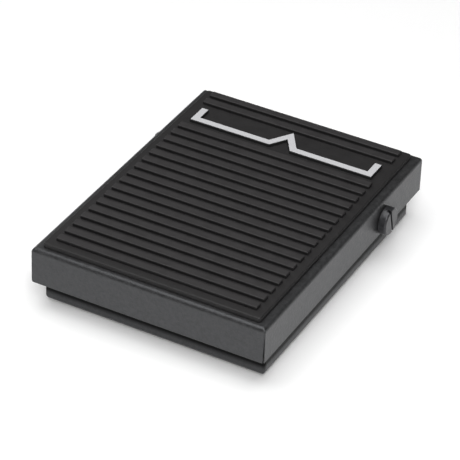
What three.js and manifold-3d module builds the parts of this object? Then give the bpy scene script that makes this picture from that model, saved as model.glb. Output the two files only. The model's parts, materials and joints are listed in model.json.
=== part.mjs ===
// A compact sustain pedal: a folded steel treadle with a ribbed rubber mat, rocking on two
// shoulder screws over a folded steel tray that holds the spring, the switch and the cable.
// Millimetres. +X is to the right, +Y to the rear, +Z up.
// The origin is on the floor, under the middle of the treadle.
import * as THREE from "three";
import { mergeVertices } from "three/addons/utils/BufferGeometryUtils.js";
import Module from "manifold-3d";

const wasm = await Module();
wasm.setup();

// ---------------------------------------------------------------- driving dimensions

const SHEET = 1.2; // steel thickness of the cover and the tray
const FIT = 0.05; // gap between pieces that are pressed together
const OUTER_BEND = 1.4; // outside radius of the cover's folds
const TRAY_BEND = 1.5; // outside radius of the tray's folds
const TRAY_CORNER = 0.7; // outside radius of the tray's upright corners

const COVER_WIDTH = 74.2;
const COVER_LENGTH = 100;
const COVER_TOP = 20.3; // height of the cover's top face above the floor
const FLANGE_DEPTH = 11.55; // how far the cover's flanges reach down
const COVER_SEAM = 0.6; // open gap where two flanges meet at a corner
const CABLE_NOTCH_RADIUS = 5.5; // in the cover's rear flange

const MAT_SIDE_INSET = 2.65; // cover's edge to mat's edge, at each side
const MAT_FRONT_INSET = 2;
const MAT_REAR_INSET = 2.4;
const MAT_THICKNESS = 1.5;
const MAT_CORNER = 0.9;
const RIB_HEIGHT = 1;
const RIB_WIDTH = 2.65;
const RIB_PITCH = 4.31;
const RIB_HALF_LENGTH = 31.8;
const FRONT_BORDER = 2.86; // mat's front edge to the first rib
const REAR_BORDER = 1.3; // last rib to the mat's rear edge
const FRONT_RIBS = 17;
const REAR_RIBS = 2; // the ribs behind the smooth band

const BASE_MAT_THICKNESS = 0.8;
const BASE_MAT_CORNER = 3;
const BASE_MAT_INSET = 2.2; // tray's edge to the rubber sheet's edge
const TRAY_HALF_WIDTH = 35.2;
const TRAY_FRONT = -45.6; // outer face of the tray's front wall
const TRAY_REAR = 45.6; // outer face of the tray's rear wall
const TRAY_LOW_WALL = 11.6; // height of the front part of the walls
const TRAY_HIGH_WALL = 17.5; // height of the ears and the rear wall
const TRAY_SEAM = 0.4;
const EAR_FRONT = 14; // where the side walls reach full height
const EAR_RAMP = 6; // length of the slope up to it
const REAR_LIP_DEPTH = 6.9;
const REAR_LIP_HALF_WIDTH = 27;

const PIVOT_Y = 24;
const PIVOT_Z = 13.2;
const SHOULDER_RADIUS = 2.5;
const RUNNING_GAP = 0.06; // radial, shoulder in bush
const HEAD_RADIUS = 4.3;
const RIGHT_HEAD_THICKNESS = 2.6;
const LEFT_HEAD_THICKNESS = 1.9; // the left screw has a flatter head
const HEAD_ROUNDING = 0.6;
const SLOT_WIDTH = 1;
const SLOT_DEPTH = 1.2;
const SLOT_TILT = 16; // degrees from upright, top end towards the front
const SIDE_GAP = 0.15; // between the screw's head and the cover
const BUSH_OUTER_RADIUS = 3.35;
const BUSH_FLANGE_RADIUS = 5;
const BUSH_FLANGE = 0.5;
const THREAD_RADIUS = 2; // of the shoulder screws' threads
const THREAD_LENGTH = 6.4;
const THREAD_HOLE = 2.15;
const WASHER_RADIUS = 4.5;
const WASHER_THICKNESS = 0.8;
const NUT_FLATS = 7;
const NUT_THICKNESS = 3.2;

const SPRING_Y = -26;
const SPRING_RADIUS = 5.2; // to the middle of the wire
const SPRING_WIRE = 0.6; // radius
const SPRING_TURNS = 6.5;
const SEAT_RADIUS = 7; // nylon seat above the spring
const SEAT_FLANGE = 0.8;
const SPIGOT_LENGTH = 3.3; // of the peg that holds the spring's upper end
const CUP_WALL = 0.9; // nylon cup below the spring
const CUP_HEIGHT = 3;
const CUP_FLOOR = 0.8;
const CUP_PEG_RADIUS = 3.6;
const CUP_PEG_HEIGHT = 3.2;
const CHAMFER = 0.7; // on the pegs' ends

const STOP_X = 20;
const STOP_Y = -38;
const STOP_RADIUS = 3.5;
const STOP_FOOT = 1.2; // height of a stop's wider foot
const STOP_TOP = 14.35;
const FELT_HALF_LENGTH = 24;
const FELT_WIDTH = 4.6;
const FELT_INSET = 1.6; // tray's rear face to the felt

const FLOOR_SCREW_RADIUS = 1.5;
const FLOOR_SCREW_HOLE = 1.6;
const FLOOR_SCREW_HEAD = 2.75;
const FLOOR_SCREW_HEAD_HEIGHT = 1.8;
const PLATE = 1; // thickness of the bracket and the clamp

const SWITCH_X = -12;
const SWITCH_Y = -12;
const SWITCH_LENGTH = 12.8;
const SWITCH_WIDTH = 5.8;
const SWITCH_BOTTOM = 6.8;
const SWITCH_HEIGHT = 6.5;
const SWITCH_HOLE_SPACING = 6.5;
const SWITCH_HOLE_HEIGHT = 1.6; // case's bottom to its mounting holes
const SWITCH_SCREW_RADIUS = 1;
const SWITCH_SCREW_HOLE = 1.1;
const SWITCH_SCREW_HEAD = 1.9;
const SWITCH_SCREW_HEAD_HEIGHT = 1.3;
const SWITCH_SCREW_LENGTH = 9.1;
const SWITCH_NUT_FLATS = 4;
const SWITCH_NUT_THICKNESS = 1.6;
const TERMINAL_SPACING = 5.08;
const TERMINAL_WIDTH = 1.2;
const TERMINAL_THICKNESS = 0.5;
const BRACKET_HALF_LENGTH = 8;
const BRACKET_FOOT = 10; // how far its foot reaches from the switch
const LEVER_PIVOT_Y = -6.6;
const LEVER_PIVOT_Z = 13.75;
const LEVER_LENGTH = 15.2;
const LEVER_WIDTH = 3.6;
const LEVER_THICKNESS = 0.3;
const LEVER_RISE = 14; // degrees above level at rest
const LEVER_PIN_RADIUS = 0.45;
const LEVER_PIN_HOLE = 0.55;
const LUG_THICKNESS = 0.7; // of the two lugs that hold the lever's pin
const LUG_GAP = 0.2; // lever to lug
const PLUNGER_ARM = 4; // lever pivot to plunger
const PLUNGER_RADIUS = 0.9;
const PLUNGER_HOLE = 1;
const STRIKER_Y = -20;
const STRIKER_BOTTOM = 17.4;
const STRIKER_RADIUS = 2.2;
const STRIKER_FLANGE_RADIUS = 3;
const STRIKER_FLANGE = 0.6;

const CABLE_RADIUS = 2.1;
const CABLE_EXIT_Z = 8;
const WIRE_RADIUS = 0.6;
const CLAMP_Y = 30;
const CLAMP_WIDTH = 5;
const GROMMET_HOLE = 3.6; // radius of the tray's hole for it
const GROMMET_FLANGE_RADIUS = 4.7;
const GROMMET_TAIL = 7.6; // how far it reaches behind the tray

// ---------------------------------------------------------------- derived dimensions

const COVER_HALF_WIDTH = COVER_WIDTH / 2;
const COVER_FRONT = -COVER_LENGTH / 2;
const COVER_REAR = COVER_LENGTH / 2;
const COVER_UNDERSIDE = COVER_TOP - SHEET;
const FLANGE_BOTTOM = COVER_TOP - FLANGE_DEPTH;
const FLOOR_BOTTOM = BASE_MAT_THICKNESS;
const FLOOR_TOP = FLOOR_BOTTOM + SHEET;
const MAT_FRONT = COVER_FRONT + MAT_FRONT_INSET;
const MAT_REAR = COVER_REAR - MAT_REAR_INSET;
const MAT_TOP = COVER_TOP + MAT_THICKNESS;
const EAR_INNER = TRAY_HALF_WIDTH - SHEET;
const SWITCH_TOP = SWITCH_BOTTOM + SWITCH_HEIGHT;

// ---------------------------------------------------------------- geometry helpers

const FINE = 32; // sides of a round that turns in another
const ROUND = 20;
const SMALL = 12;

// A closed geometry as a solid that can be joined and cut.
function toSolid(geometry) {
  const bare = geometry.clone();
  bare.deleteAttribute("normal");
  bare.deleteAttribute("uv");
  const merged = mergeVertices(bare, 1e-4);
  return new wasm.Manifold(
    new wasm.Mesh({
      numProp: 3,
      vertProperties: merged.attributes.position.array,
      triVerts: new Uint32Array(merged.index.array),
    }),
  );
}

function toGeometry(solid) {
  const mesh = solid.getMesh();
  const geometry = new THREE.BufferGeometry();
  geometry.setAttribute("position", new THREE.BufferAttribute(mesh.vertProperties, 3));
  geometry.setIndex(new THREE.BufferAttribute(mesh.triVerts, 1));
  geometry.computeVertexNormals();
  return geometry;
}

const X_AXIS = new THREE.Vector3(1, 0, 0);
const Y_AXIS = new THREE.Vector3(0, 1, 0);
const Z_AXIS = new THREE.Vector3(0, 0, 1);

function placed(geometry, xTo, yTo, zTo, position) {
  const matrix = new THREE.Matrix4().makeBasis(xTo, yTo, zTo);
  matrix.setPosition(position);
  return toSolid(geometry.applyMatrix4(matrix));
}

// curveSegments counts half-steps of an arc, so each bend or corner gets six facets.
function extrusion(shape, depth) {
  return new THREE.ExtrudeGeometry(shape, { depth, bevelEnabled: false, curveSegments: 3 });
}

// A shape drawn in (y, z), extruded from x0 to x1.
function alongX(shape, x0, x1) {
  return placed(extrusion(shape, x1 - x0), Y_AXIS, Z_AXIS, X_AXIS, new THREE.Vector3(x0, 0, 0));
}

// A shape drawn in (x, z), extruded from y0 to y1.
function alongY(shape, y0, y1) {
  const back = Y_AXIS.clone().negate();
  return placed(extrusion(shape, y1 - y0), X_AXIS, Z_AXIS, back, new THREE.Vector3(0, y1, 0));
}

// A shape drawn in (x, y), extruded from z0 to z1.
function alongZ(shape, z0, z1) {
  return placed(extrusion(shape, z1 - z0), X_AXIS, Y_AXIS, Z_AXIS, new THREE.Vector3(0, 0, z0));
}

function box(x0, x1, y0, y1, z0, z1) {
  const geometry = new THREE.BoxGeometry(x1 - x0, y1 - y0, z1 - z0);
  geometry.translate((x0 + x1) / 2, (y0 + y1) / 2, (z0 + z1) / 2);
  return toSolid(geometry);
}

// A turned piece: profile points are [radius, distance along the axis] from the start point.
function turned(profile, axis, start, sides = ROUND) {
  const points = profile.map(([radius, along]) => new THREE.Vector2(radius, along));
  const geometry = new THREE.LatheGeometry(points, sides);
  const turn = new THREE.Quaternion().setFromUnitVectors(Y_AXIS, axis);
  const square = new THREE.Matrix4().makeRotationFromQuaternion(turn);
  square.elements.forEach((value, i) => {
    square.elements[i] = Math.round(value);
  });
  geometry.applyMatrix4(square);
  geometry.translate(...start);
  return toSolid(geometry);
}

function rod(radius, length, axis, start, sides = ROUND) {
  return turned([[0, 0], [radius, 0], [radius, length], [0, length]], axis, start, sides);
}

// A tube with square ends, as a closed profile away from the axis.
function sleeve(inner, outer, length, axis, start, sides = ROUND) {
  const profile = [[inner, 0], [outer, 0], [outer, length], [inner, length], [inner, 0]];
  return turned(profile, axis, start, sides);
}

function hexagonNut(acrossFlats, hole, length, axis, start) {
  const corner = acrossFlats / Math.sqrt(3);
  return rod(corner, length, axis, start, 6).subtract(
    rod(hole, length + 2, axis, new THREE.Vector3(...start).addScaledVector(axis, -1)),
  );
}

function roundedRectangle(x0, x1, y0, y1, radius) {
  const shape = new THREE.Shape();
  shape.absarc(x1 - radius, y1 - radius, radius, 0, Math.PI / 2);
  shape.absarc(x0 + radius, y1 - radius, radius, Math.PI / 2, Math.PI);
  shape.absarc(x0 + radius, y0 + radius, radius, Math.PI, 1.5 * Math.PI);
  shape.absarc(x1 - radius, y0 + radius, radius, 1.5 * Math.PI, 2 * Math.PI);
  shape.closePath();
  return shape;
}

// The cross-section of a lid: square at the open bottom, rounded at the two top corners.
function lidProfile(low, high, bottom, top, radius) {
  const shape = new THREE.Shape();
  shape.moveTo(low, bottom);
  shape.lineTo(high, bottom);
  shape.absarc(high - radius, top - radius, radius, 0, Math.PI / 2);
  shape.absarc(low + radius, top - radius, radius, Math.PI / 2, Math.PI);
  shape.closePath();
  return shape;
}

// The same for a tray: rounded at the two bottom corners, square at the open top.
function trayProfile(low, high, bottom, top, radius) {
  const shape = new THREE.Shape();
  shape.moveTo(high, top);
  shape.lineTo(low, top);
  shape.absarc(low + radius, bottom + radius, radius, Math.PI, 1.5 * Math.PI);
  shape.absarc(high - radius, bottom + radius, radius, 1.5 * Math.PI, 2 * Math.PI);
  shape.closePath();
  return shape;
}

// Slots at the four upright corners of a folded box, on each corner's diagonal.
function cornerSlots(halfWidth, front, rear, bottom, top, gap) {
  const reach = 4 * SHEET;
  const corners = [
    [halfWidth, front, -45],
    [halfWidth, rear, 45],
    [-halfWidth, rear, 135],
    [-halfWidth, front, 225],
  ];
  return corners
    .map(([x, y, angle]) => {
      const slot = new THREE.BoxGeometry(reach, gap, top - bottom);
      slot.rotateZ(THREE.MathUtils.degToRad(angle));
      slot.translate(x, y, (bottom + top) / 2);
      return toSolid(slot);
    })
    .reduce((all, slot) => all.add(slot));
}

function tubeAlong(path, radius, steps, sides) {
  const ring = new THREE.Shape().absarc(0, 0, radius, 0, 2 * Math.PI, false);
  const curveSegments = sides / 2;
  const options = { steps, extrudePath: path, curveSegments, bevelEnabled: false };
  return toSolid(new THREE.ExtrudeGeometry(ring, options));
}

function smoothPath(points) {
  return new THREE.CatmullRomCurve3(points.map((point) => new THREE.Vector3(...point)));
}

// ---------------------------------------------------------------- treadle

function treadleCover() {
  const below = FLANGE_BOTTOM - 1;
  const innerBend = OUTER_BEND - SHEET;
  const halfInner = COVER_HALF_WIDTH - SHEET;
  const across = lidProfile(
    -COVER_HALF_WIDTH, COVER_HALF_WIDTH, FLANGE_BOTTOM, COVER_TOP, OUTER_BEND,
  );
  const lengthwise = lidProfile(COVER_FRONT, COVER_REAR, FLANGE_BOTTOM, COVER_TOP, OUTER_BEND);
  const innerAcross = lidProfile(-halfInner, halfInner, below, COVER_UNDERSIDE, innerBend);
  const innerLengthwise = lidProfile(
    COVER_FRONT + SHEET, COVER_REAR - SHEET, below, COVER_UNDERSIDE, innerBend,
  );
  const outside = alongY(across, COVER_FRONT, COVER_REAR).intersect(
    alongX(lengthwise, -COVER_HALF_WIDTH, COVER_HALF_WIDTH),
  );
  const inside = alongY(innerAcross, COVER_FRONT + SHEET, COVER_REAR - SHEET).intersect(
    alongX(innerLengthwise, -halfInner, halfInner),
  );
  const seams = cornerSlots(
    COVER_HALF_WIDTH, COVER_FRONT, COVER_REAR, below, COVER_TOP - OUTER_BEND, COVER_SEAM,
  );
  const pivotHoles = rod(
    BUSH_OUTER_RADIUS + FIT, COVER_WIDTH + 2, X_AXIS, [-COVER_HALF_WIDTH - 1, PIVOT_Y, PIVOT_Z],
  );
  const notchStart = COVER_REAR - 2 * SHEET;
  const notchEnd = COVER_REAR + SHEET;
  const cableNotch = rod(
    CABLE_NOTCH_RADIUS, notchEnd - notchStart, Y_AXIS, [0, notchStart, CABLE_EXIT_Z],
  ).add(
    box(
      -CABLE_NOTCH_RADIUS, CABLE_NOTCH_RADIUS, notchStart, notchEnd, below, CABLE_EXIT_Z,
    ),
  );
  return outside.subtract(inside).subtract(seams).subtract(pivotHoles).subtract(cableNotch);
}

function ribFronts() {
  const first = MAT_FRONT + FRONT_BORDER;
  const last = MAT_REAR - REAR_BORDER - RIB_WIDTH;
  const front = Array.from({ length: FRONT_RIBS }, (_, i) => first + i * RIB_PITCH);
  const rear = Array.from({ length: REAR_RIBS }, (_, i) => last - i * RIB_PITCH);
  return [...front, ...rear];
}

function treadMat() {
  const halfWidth = COVER_HALF_WIDTH - MAT_SIDE_INSET;
  const outline = roundedRectangle(-halfWidth, halfWidth, MAT_FRONT, MAT_REAR, MAT_CORNER);
  const ribBottom = MAT_TOP - RIB_HEIGHT / 5; // a little inside the mat, so that they join
  return ribFronts()
    .map((y) =>
      box(-RIB_HALF_LENGTH, RIB_HALF_LENGTH, y, y + RIB_WIDTH, ribBottom, MAT_TOP + RIB_HEIGHT),
    )
    .reduce((mat, rib) => mat.add(rib), alongZ(outline, COVER_TOP, MAT_TOP));
}

// side is 1 on the right and -1 on the left; the bush lies in the cover's flange.
function pivotBush(side) {
  const outward = X_AXIS.clone().multiplyScalar(side);
  const bore = SHOULDER_RADIUS + RUNNING_GAP;
  const flangeStart = COVER_HALF_WIDTH - SHEET - FIT - BUSH_FLANGE;
  const barrelLength = COVER_HALF_WIDTH + FIT - flangeStart;
  const start = [side * flangeStart, PIVOT_Y, PIVOT_Z];
  return sleeve(bore, BUSH_OUTER_RADIUS, barrelLength, outward, start, FINE).add(
    sleeve(bore, BUSH_FLANGE_RADIUS, BUSH_FLANGE, outward, start, FINE),
  );
}

function springSeat() {
  const spigotRadius = SPRING_RADIUS - SPRING_WIRE - 0.5;
  const spigotEnd = SEAT_FLANGE + SPIGOT_LENGTH;
  const profile = [
    [0, 0], [SEAT_RADIUS, 0], [SEAT_RADIUS, SEAT_FLANGE], [spigotRadius, SEAT_FLANGE],
    [spigotRadius, spigotEnd - CHAMFER], [spigotRadius - CHAMFER, spigotEnd], [0, spigotEnd],
  ];
  return turned(profile, Z_AXIS.clone().negate(), [0, SPRING_Y, COVER_UNDERSIDE]);
}

function strikerButton() {
  const length = COVER_UNDERSIDE - STRIKER_BOTTOM;
  const profile = [
    [0, 0], [STRIKER_FLANGE_RADIUS, 0], [STRIKER_FLANGE_RADIUS, STRIKER_FLANGE],
    [STRIKER_RADIUS, STRIKER_FLANGE], [STRIKER_RADIUS, length - 0.5],
    [STRIKER_RADIUS - 0.5, length - 0.1], [0, length],
  ];
  return turned(profile, Z_AXIS.clone().negate(), [SWITCH_X, STRIKER_Y, COVER_UNDERSIDE]);
}

// ---------------------------------------------------------------- tray and its fittings

function screwHoles(holes, radius) {
  return holes
    .map(([x, y]) => rod(radius, 4 * SHEET, Z_AXIS, [x, y, FLOOR_BOTTOM - SHEET], SMALL))
    .reduce((all, hole) => all.add(hole));
}

const BRACKET_SCREW_X = SWITCH_X - 8.5;
const BRACKET_SCREW_YS = [SWITCH_Y - 4, SWITCH_Y + 4];
const CLAMP_SCREW_X = 6.3;

function baseTray() {
  const innerBend = TRAY_BEND - SHEET;
  const above = TRAY_HIGH_WALL + 1;
  const halfInner = TRAY_HALF_WIDTH - SHEET;
  const frontInner = TRAY_FRONT + SHEET;
  const rearInner = TRAY_REAR - SHEET;
  const across = trayProfile(
    -TRAY_HALF_WIDTH, TRAY_HALF_WIDTH, FLOOR_BOTTOM, TRAY_HIGH_WALL, TRAY_BEND,
  );
  const lengthwise = trayProfile(
    TRAY_FRONT, TRAY_REAR, FLOOR_BOTTOM, TRAY_HIGH_WALL, TRAY_BEND,
  );
  const innerAcross = trayProfile(-halfInner, halfInner, FLOOR_TOP, above, innerBend);
  const innerLengthwise = trayProfile(frontInner, rearInner, FLOOR_TOP, above, innerBend);
  const outline = roundedRectangle(
    -TRAY_HALF_WIDTH, TRAY_HALF_WIDTH, TRAY_FRONT, TRAY_REAR, TRAY_CORNER,
  );
  const outside = alongY(across, TRAY_FRONT, TRAY_REAR)
    .intersect(alongX(lengthwise, -TRAY_HALF_WIDTH, TRAY_HALF_WIDTH))
    .intersect(alongZ(outline, 0, above));
  const inside = alongY(innerAcross, frontInner, rearInner).intersect(
    alongX(innerLengthwise, -halfInner, halfInner),
  );
  const lowered = new THREE.Shape([
    new THREE.Vector2(TRAY_FRONT - 1, TRAY_LOW_WALL),
    new THREE.Vector2(EAR_FRONT - EAR_RAMP, TRAY_LOW_WALL),
    new THREE.Vector2(EAR_FRONT, above),
    new THREE.Vector2(TRAY_FRONT - 1, above),
  ]);
  const lip = box(
    -REAR_LIP_HALF_WIDTH, REAR_LIP_HALF_WIDTH,
    TRAY_REAR - REAR_LIP_DEPTH, TRAY_REAR - SHEET / 2,
    TRAY_HIGH_WALL - SHEET, TRAY_HIGH_WALL,
  );
  const seams = cornerSlots(
    TRAY_HALF_WIDTH, TRAY_FRONT, TRAY_REAR, FLOOR_BOTTOM + TRAY_BEND, above, TRAY_SEAM,
  );
  const pivotHoles = rod(
    THREAD_HOLE, 2 * TRAY_HALF_WIDTH + 2, X_AXIS, [-TRAY_HALF_WIDTH - 1, PIVOT_Y, PIVOT_Z],
  );
  const grommetHole = rod(
    GROMMET_HOLE, 3 * SHEET, Y_AXIS, [0, TRAY_REAR - 2 * SHEET, CABLE_EXIT_Z],
  );
  const floorHoles = screwHoles(
    [...BRACKET_SCREW_YS.map((y) => [BRACKET_SCREW_X, y]), [CLAMP_SCREW_X, CLAMP_Y]],
    FLOOR_SCREW_HOLE,
  );
  return outside
    .subtract(inside)
    .subtract(alongX(lowered, -TRAY_HALF_WIDTH - 1, TRAY_HALF_WIDTH + 1))
    .add(lip)
    .subtract(seams)
    .subtract(pivotHoles)
    .subtract(grommetHole)
    .subtract(floorHoles);
}

function baseMat() {
  const halfWidth = TRAY_HALF_WIDTH - BASE_MAT_INSET;
  const front = TRAY_FRONT + BASE_MAT_INSET;
  const rear = TRAY_REAR - BASE_MAT_INSET;
  const outline = roundedRectangle(-halfWidth, halfWidth, front, rear, BASE_MAT_CORNER);
  return alongZ(outline, 0, BASE_MAT_THICKNESS);
}

// Slotted head outside the cover, plain shoulder through the bush, thinner thread through the ear.
function pivotScrew(side) {
  const outward = X_AXIS.clone().multiplyScalar(side);
  const headStart = COVER_HALF_WIDTH + SIDE_GAP - TRAY_HALF_WIDTH;
  const headEnd = headStart + (side > 0 ? RIGHT_HEAD_THICKNESS : LEFT_HEAD_THICKNESS);
  const threadStart = 0.4 - THREAD_LENGTH; // after its chamfer
  const rounding = [0, 30, 60, 90].map((degrees) => {
    const angle = THREE.MathUtils.degToRad(degrees);
    return [
      HEAD_RADIUS - HEAD_ROUNDING + HEAD_ROUNDING * Math.cos(angle),
      headEnd - HEAD_ROUNDING + HEAD_ROUNDING * Math.sin(angle),
    ];
  });
  const profile = [
    [0, -THREAD_LENGTH], [THREAD_RADIUS - 0.4, -THREAD_LENGTH], [THREAD_RADIUS, threadStart],
    [THREAD_RADIUS, 0], [SHOULDER_RADIUS, 0],
    [SHOULDER_RADIUS, headStart], [HEAD_RADIUS, headStart], ...rounding, [0, headEnd],
  ];
  const screw = turned(profile, outward, [side * TRAY_HALF_WIDTH, PIVOT_Y, PIVOT_Z], FINE);
  const slot = new THREE.BoxGeometry(2 * SLOT_DEPTH, SLOT_WIDTH, 4 * HEAD_RADIUS);
  slot.rotateX(THREE.MathUtils.degToRad(SLOT_TILT));
  slot.translate(side * (TRAY_HALF_WIDTH + headEnd), PIVOT_Y, PIVOT_Z);
  return screw.subtract(toSolid(slot));
}

function pivotWasher(side) {
  const inward = X_AXIS.clone().multiplyScalar(-side);
  const start = [side * EAR_INNER, PIVOT_Y, PIVOT_Z];
  return sleeve(THREAD_HOLE, WASHER_RADIUS, WASHER_THICKNESS, inward, start);
}

function pivotNut(side) {
  const inward = X_AXIS.clone().multiplyScalar(-side);
  const start = [side * (EAR_INNER - WASHER_THICKNESS), PIVOT_Y, PIVOT_Z];
  return hexagonNut(NUT_FLATS, THREAD_RADIUS + 0.1, NUT_THICKNESS, inward, start);
}

function springCup() {
  const outer = SPRING_RADIUS + SPRING_WIRE + 1.4;
  const profile = [
    [0, 0], [outer, 0], [outer, CUP_HEIGHT],
    [outer - CUP_WALL, CUP_HEIGHT], [outer - CUP_WALL, CUP_FLOOR],
    [CUP_PEG_RADIUS, CUP_FLOOR], [CUP_PEG_RADIUS, CUP_PEG_HEIGHT - CHAMFER],
    [CUP_PEG_RADIUS - CHAMFER, CUP_PEG_HEIGHT], [0, CUP_PEG_HEIGHT],
  ];
  return turned(profile, Z_AXIS, [0, SPRING_Y, FLOOR_TOP]);
}

// A coil whose first and last turns lie flat, so that its ends sit square.
class CoilPath extends THREE.Curve {
  constructor(bottom, top) {
    super();
    this.bottom = bottom;
    this.top = top;
  }
  getPoint(share, target = new THREE.Vector3()) {
    const turn = share * SPRING_TURNS;
    const flatPitch = 2 * SPRING_WIRE + 0.08;
    const openPitch = (this.top - this.bottom - 2 * flatPitch) / (SPRING_TURNS - 2);
    const opened = THREE.MathUtils.clamp(turn - 1, 0, SPRING_TURNS - 2);
    const height = this.bottom + flatPitch * (turn - opened) + openPitch * opened;
    const angle = 2 * Math.PI * turn;
    return target.set(
      SPRING_RADIUS * Math.cos(angle),
      SPRING_Y + SPRING_RADIUS * Math.sin(angle),
      height,
    );
  }
}

function returnSpring() {
  const clear = SPRING_WIRE + 0.1;
  const path = new CoilPath(FLOOR_TOP + CUP_FLOOR + clear, COVER_UNDERSIDE - SEAT_FLANGE - clear);
  return tubeAlong(path, SPRING_WIRE, 12 * SPRING_TURNS, 6);
}

function downStop(side) {
  const height = STOP_TOP - FLOOR_TOP;
  const profile = [
    [0, 0], [STOP_RADIUS + 1, 0], [STOP_RADIUS + 1, STOP_FOOT], [STOP_RADIUS, STOP_FOOT + 0.6],
    [STOP_RADIUS, height - 0.6], [STOP_RADIUS - 0.6, height], [0, height],
  ];
  return turned(profile, Z_AXIS, [side * STOP_X, STOP_Y, FLOOR_TOP]);
}

function rearStopFelt() {
  const rear = TRAY_REAR - FELT_INSET;
  return box(
    -FELT_HALF_LENGTH, FELT_HALF_LENGTH, rear - FELT_WIDTH, rear,
    TRAY_HIGH_WALL, COVER_UNDERSIDE - SIDE_GAP,
  );
}

// A pan-headed screw standing on a surface, its thread reaching down to the tray's underside.
function floorScrew(x, y, surface) {
  const thread = surface - FLOOR_BOTTOM;
  const profile = [
    [0, -thread], [FLOOR_SCREW_RADIUS, -thread], [FLOOR_SCREW_RADIUS, 0],
    [FLOOR_SCREW_HEAD, 0], [FLOOR_SCREW_HEAD, FLOOR_SCREW_HEAD_HEIGHT - 0.6],
    [FLOOR_SCREW_HEAD - 0.55, FLOOR_SCREW_HEAD_HEIGHT], [0, FLOOR_SCREW_HEAD_HEIGHT],
  ];
  const slot = box(x - 3, x + 3, y - 0.35, y + 0.35, surface + 1.1, surface + 3);
  return turned(profile, Z_AXIS, [x, y, surface], SMALL).subtract(slot);
}

// ---------------------------------------------------------------- switch

const SWITCH_SCREW_Z = SWITCH_BOTTOM + SWITCH_HOLE_HEIGHT;
const SWITCH_SCREW_YS = [
  SWITCH_Y - SWITCH_HOLE_SPACING / 2,
  SWITCH_Y + SWITCH_HOLE_SPACING / 2,
];
const SWITCH_LEFT = SWITCH_X - SWITCH_WIDTH / 2;
const SWITCH_RIGHT = SWITCH_X + SWITCH_WIDTH / 2;
const PLUNGER_Y = LEVER_PIVOT_Y - PLUNGER_ARM;

function switchScrewHoles() {
  return SWITCH_SCREW_YS.map((y) =>
    rod(SWITCH_SCREW_HOLE, 20, X_AXIS, [SWITCH_X - 10, y, SWITCH_SCREW_Z], SMALL),
  ).reduce((all, hole) => all.add(hole));
}

function switchCase() {
  const front = SWITCH_Y - SWITCH_LENGTH / 2;
  const rear = SWITCH_Y + SWITCH_LENGTH / 2;
  const lugInner = LEVER_WIDTH / 2 + LUG_GAP;
  const lugs = [-1, 1].map((side) => {
    const inner = SWITCH_X + side * lugInner;
    const outer = SWITCH_X + side * (lugInner + LUG_THICKNESS);
    return box(
      Math.min(inner, outer), Math.max(inner, outer),
      LEVER_PIVOT_Y - 1, LEVER_PIVOT_Y + 1,
      SWITCH_TOP - 0.5, LEVER_PIVOT_Z + 0.9,
    );
  });
  const pinHole = rod(
    LEVER_PIN_HOLE, LEVER_WIDTH + 4, X_AXIS,
    [SWITCH_X - LEVER_WIDTH / 2 - 2, LEVER_PIVOT_Y, LEVER_PIVOT_Z], SMALL,
  );
  const plungerHole = rod(PLUNGER_HOLE, 3, Z_AXIS, [SWITCH_X, PLUNGER_Y, SWITCH_TOP - 2.1]);
  return box(SWITCH_LEFT, SWITCH_RIGHT, front, rear, SWITCH_BOTTOM, SWITCH_TOP)
    .add(lugs[0])
    .add(lugs[1])
    .subtract(pinHole)
    .subtract(plungerHole)
    .subtract(switchScrewHoles());
}

function switchLever() {
  const angle = THREE.MathUtils.degToRad(LEVER_RISE);
  const blade = new THREE.BoxGeometry(LEVER_WIDTH, LEVER_LENGTH, LEVER_THICKNESS);
  blade.translate(0, 0.5 - LEVER_LENGTH / 2, 0);
  blade.rotateX(-angle);
  blade.translate(SWITCH_X, LEVER_PIVOT_Y, LEVER_PIVOT_Z);
  const pinLength = LEVER_WIDTH + 2 * (LUG_GAP + LUG_THICKNESS - 0.1);
  const pinStart = [SWITCH_X - pinLength / 2, LEVER_PIVOT_Y, LEVER_PIVOT_Z];
  const pin = rod(LEVER_PIN_RADIUS, pinLength, X_AXIS, pinStart, SMALL);
  return toSolid(blade).add(pin);
}

function switchPlunger() {
  const bottom = SWITCH_TOP - 0.9;
  const top = LEVER_PIVOT_Z + 0.75;
  const height = top - bottom;
  const profile = [
    [0, 0], [PLUNGER_RADIUS, 0], [PLUNGER_RADIUS, height - 0.3],
    [PLUNGER_RADIUS - 0.3, height], [0, height],
  ];
  return turned(profile, Z_AXIS, [SWITCH_X, PLUNGER_Y, bottom], SMALL);
}

function switchTerminal(position) {
  const y = SWITCH_Y + position * TERMINAL_SPACING;
  const bottom = FLOOR_TOP + 0.8;
  return box(
    SWITCH_X - TERMINAL_THICKNESS / 2, SWITCH_X + TERMINAL_THICKNESS / 2,
    y - TERMINAL_WIDTH / 2, y + TERMINAL_WIDTH / 2, bottom, SWITCH_BOTTOM,
  );
}

function switchBracket() {
  const front = SWITCH_Y - BRACKET_HALF_LENGTH;
  const rear = SWITCH_Y + BRACKET_HALF_LENGTH;
  const footEnd = SWITCH_LEFT - BRACKET_FOOT;
  const plate = box(SWITCH_LEFT - PLATE, SWITCH_LEFT, front, rear, FLOOR_TOP, SWITCH_TOP - 0.6);
  const foot = box(footEnd, SWITCH_LEFT, front, rear, FLOOR_TOP, FLOOR_TOP + PLATE);
  const footHoles = screwHoles(
    BRACKET_SCREW_YS.map((y) => [BRACKET_SCREW_X, y]), FLOOR_SCREW_HOLE,
  );
  return plate.add(foot).subtract(footHoles).subtract(switchScrewHoles());
}

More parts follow.
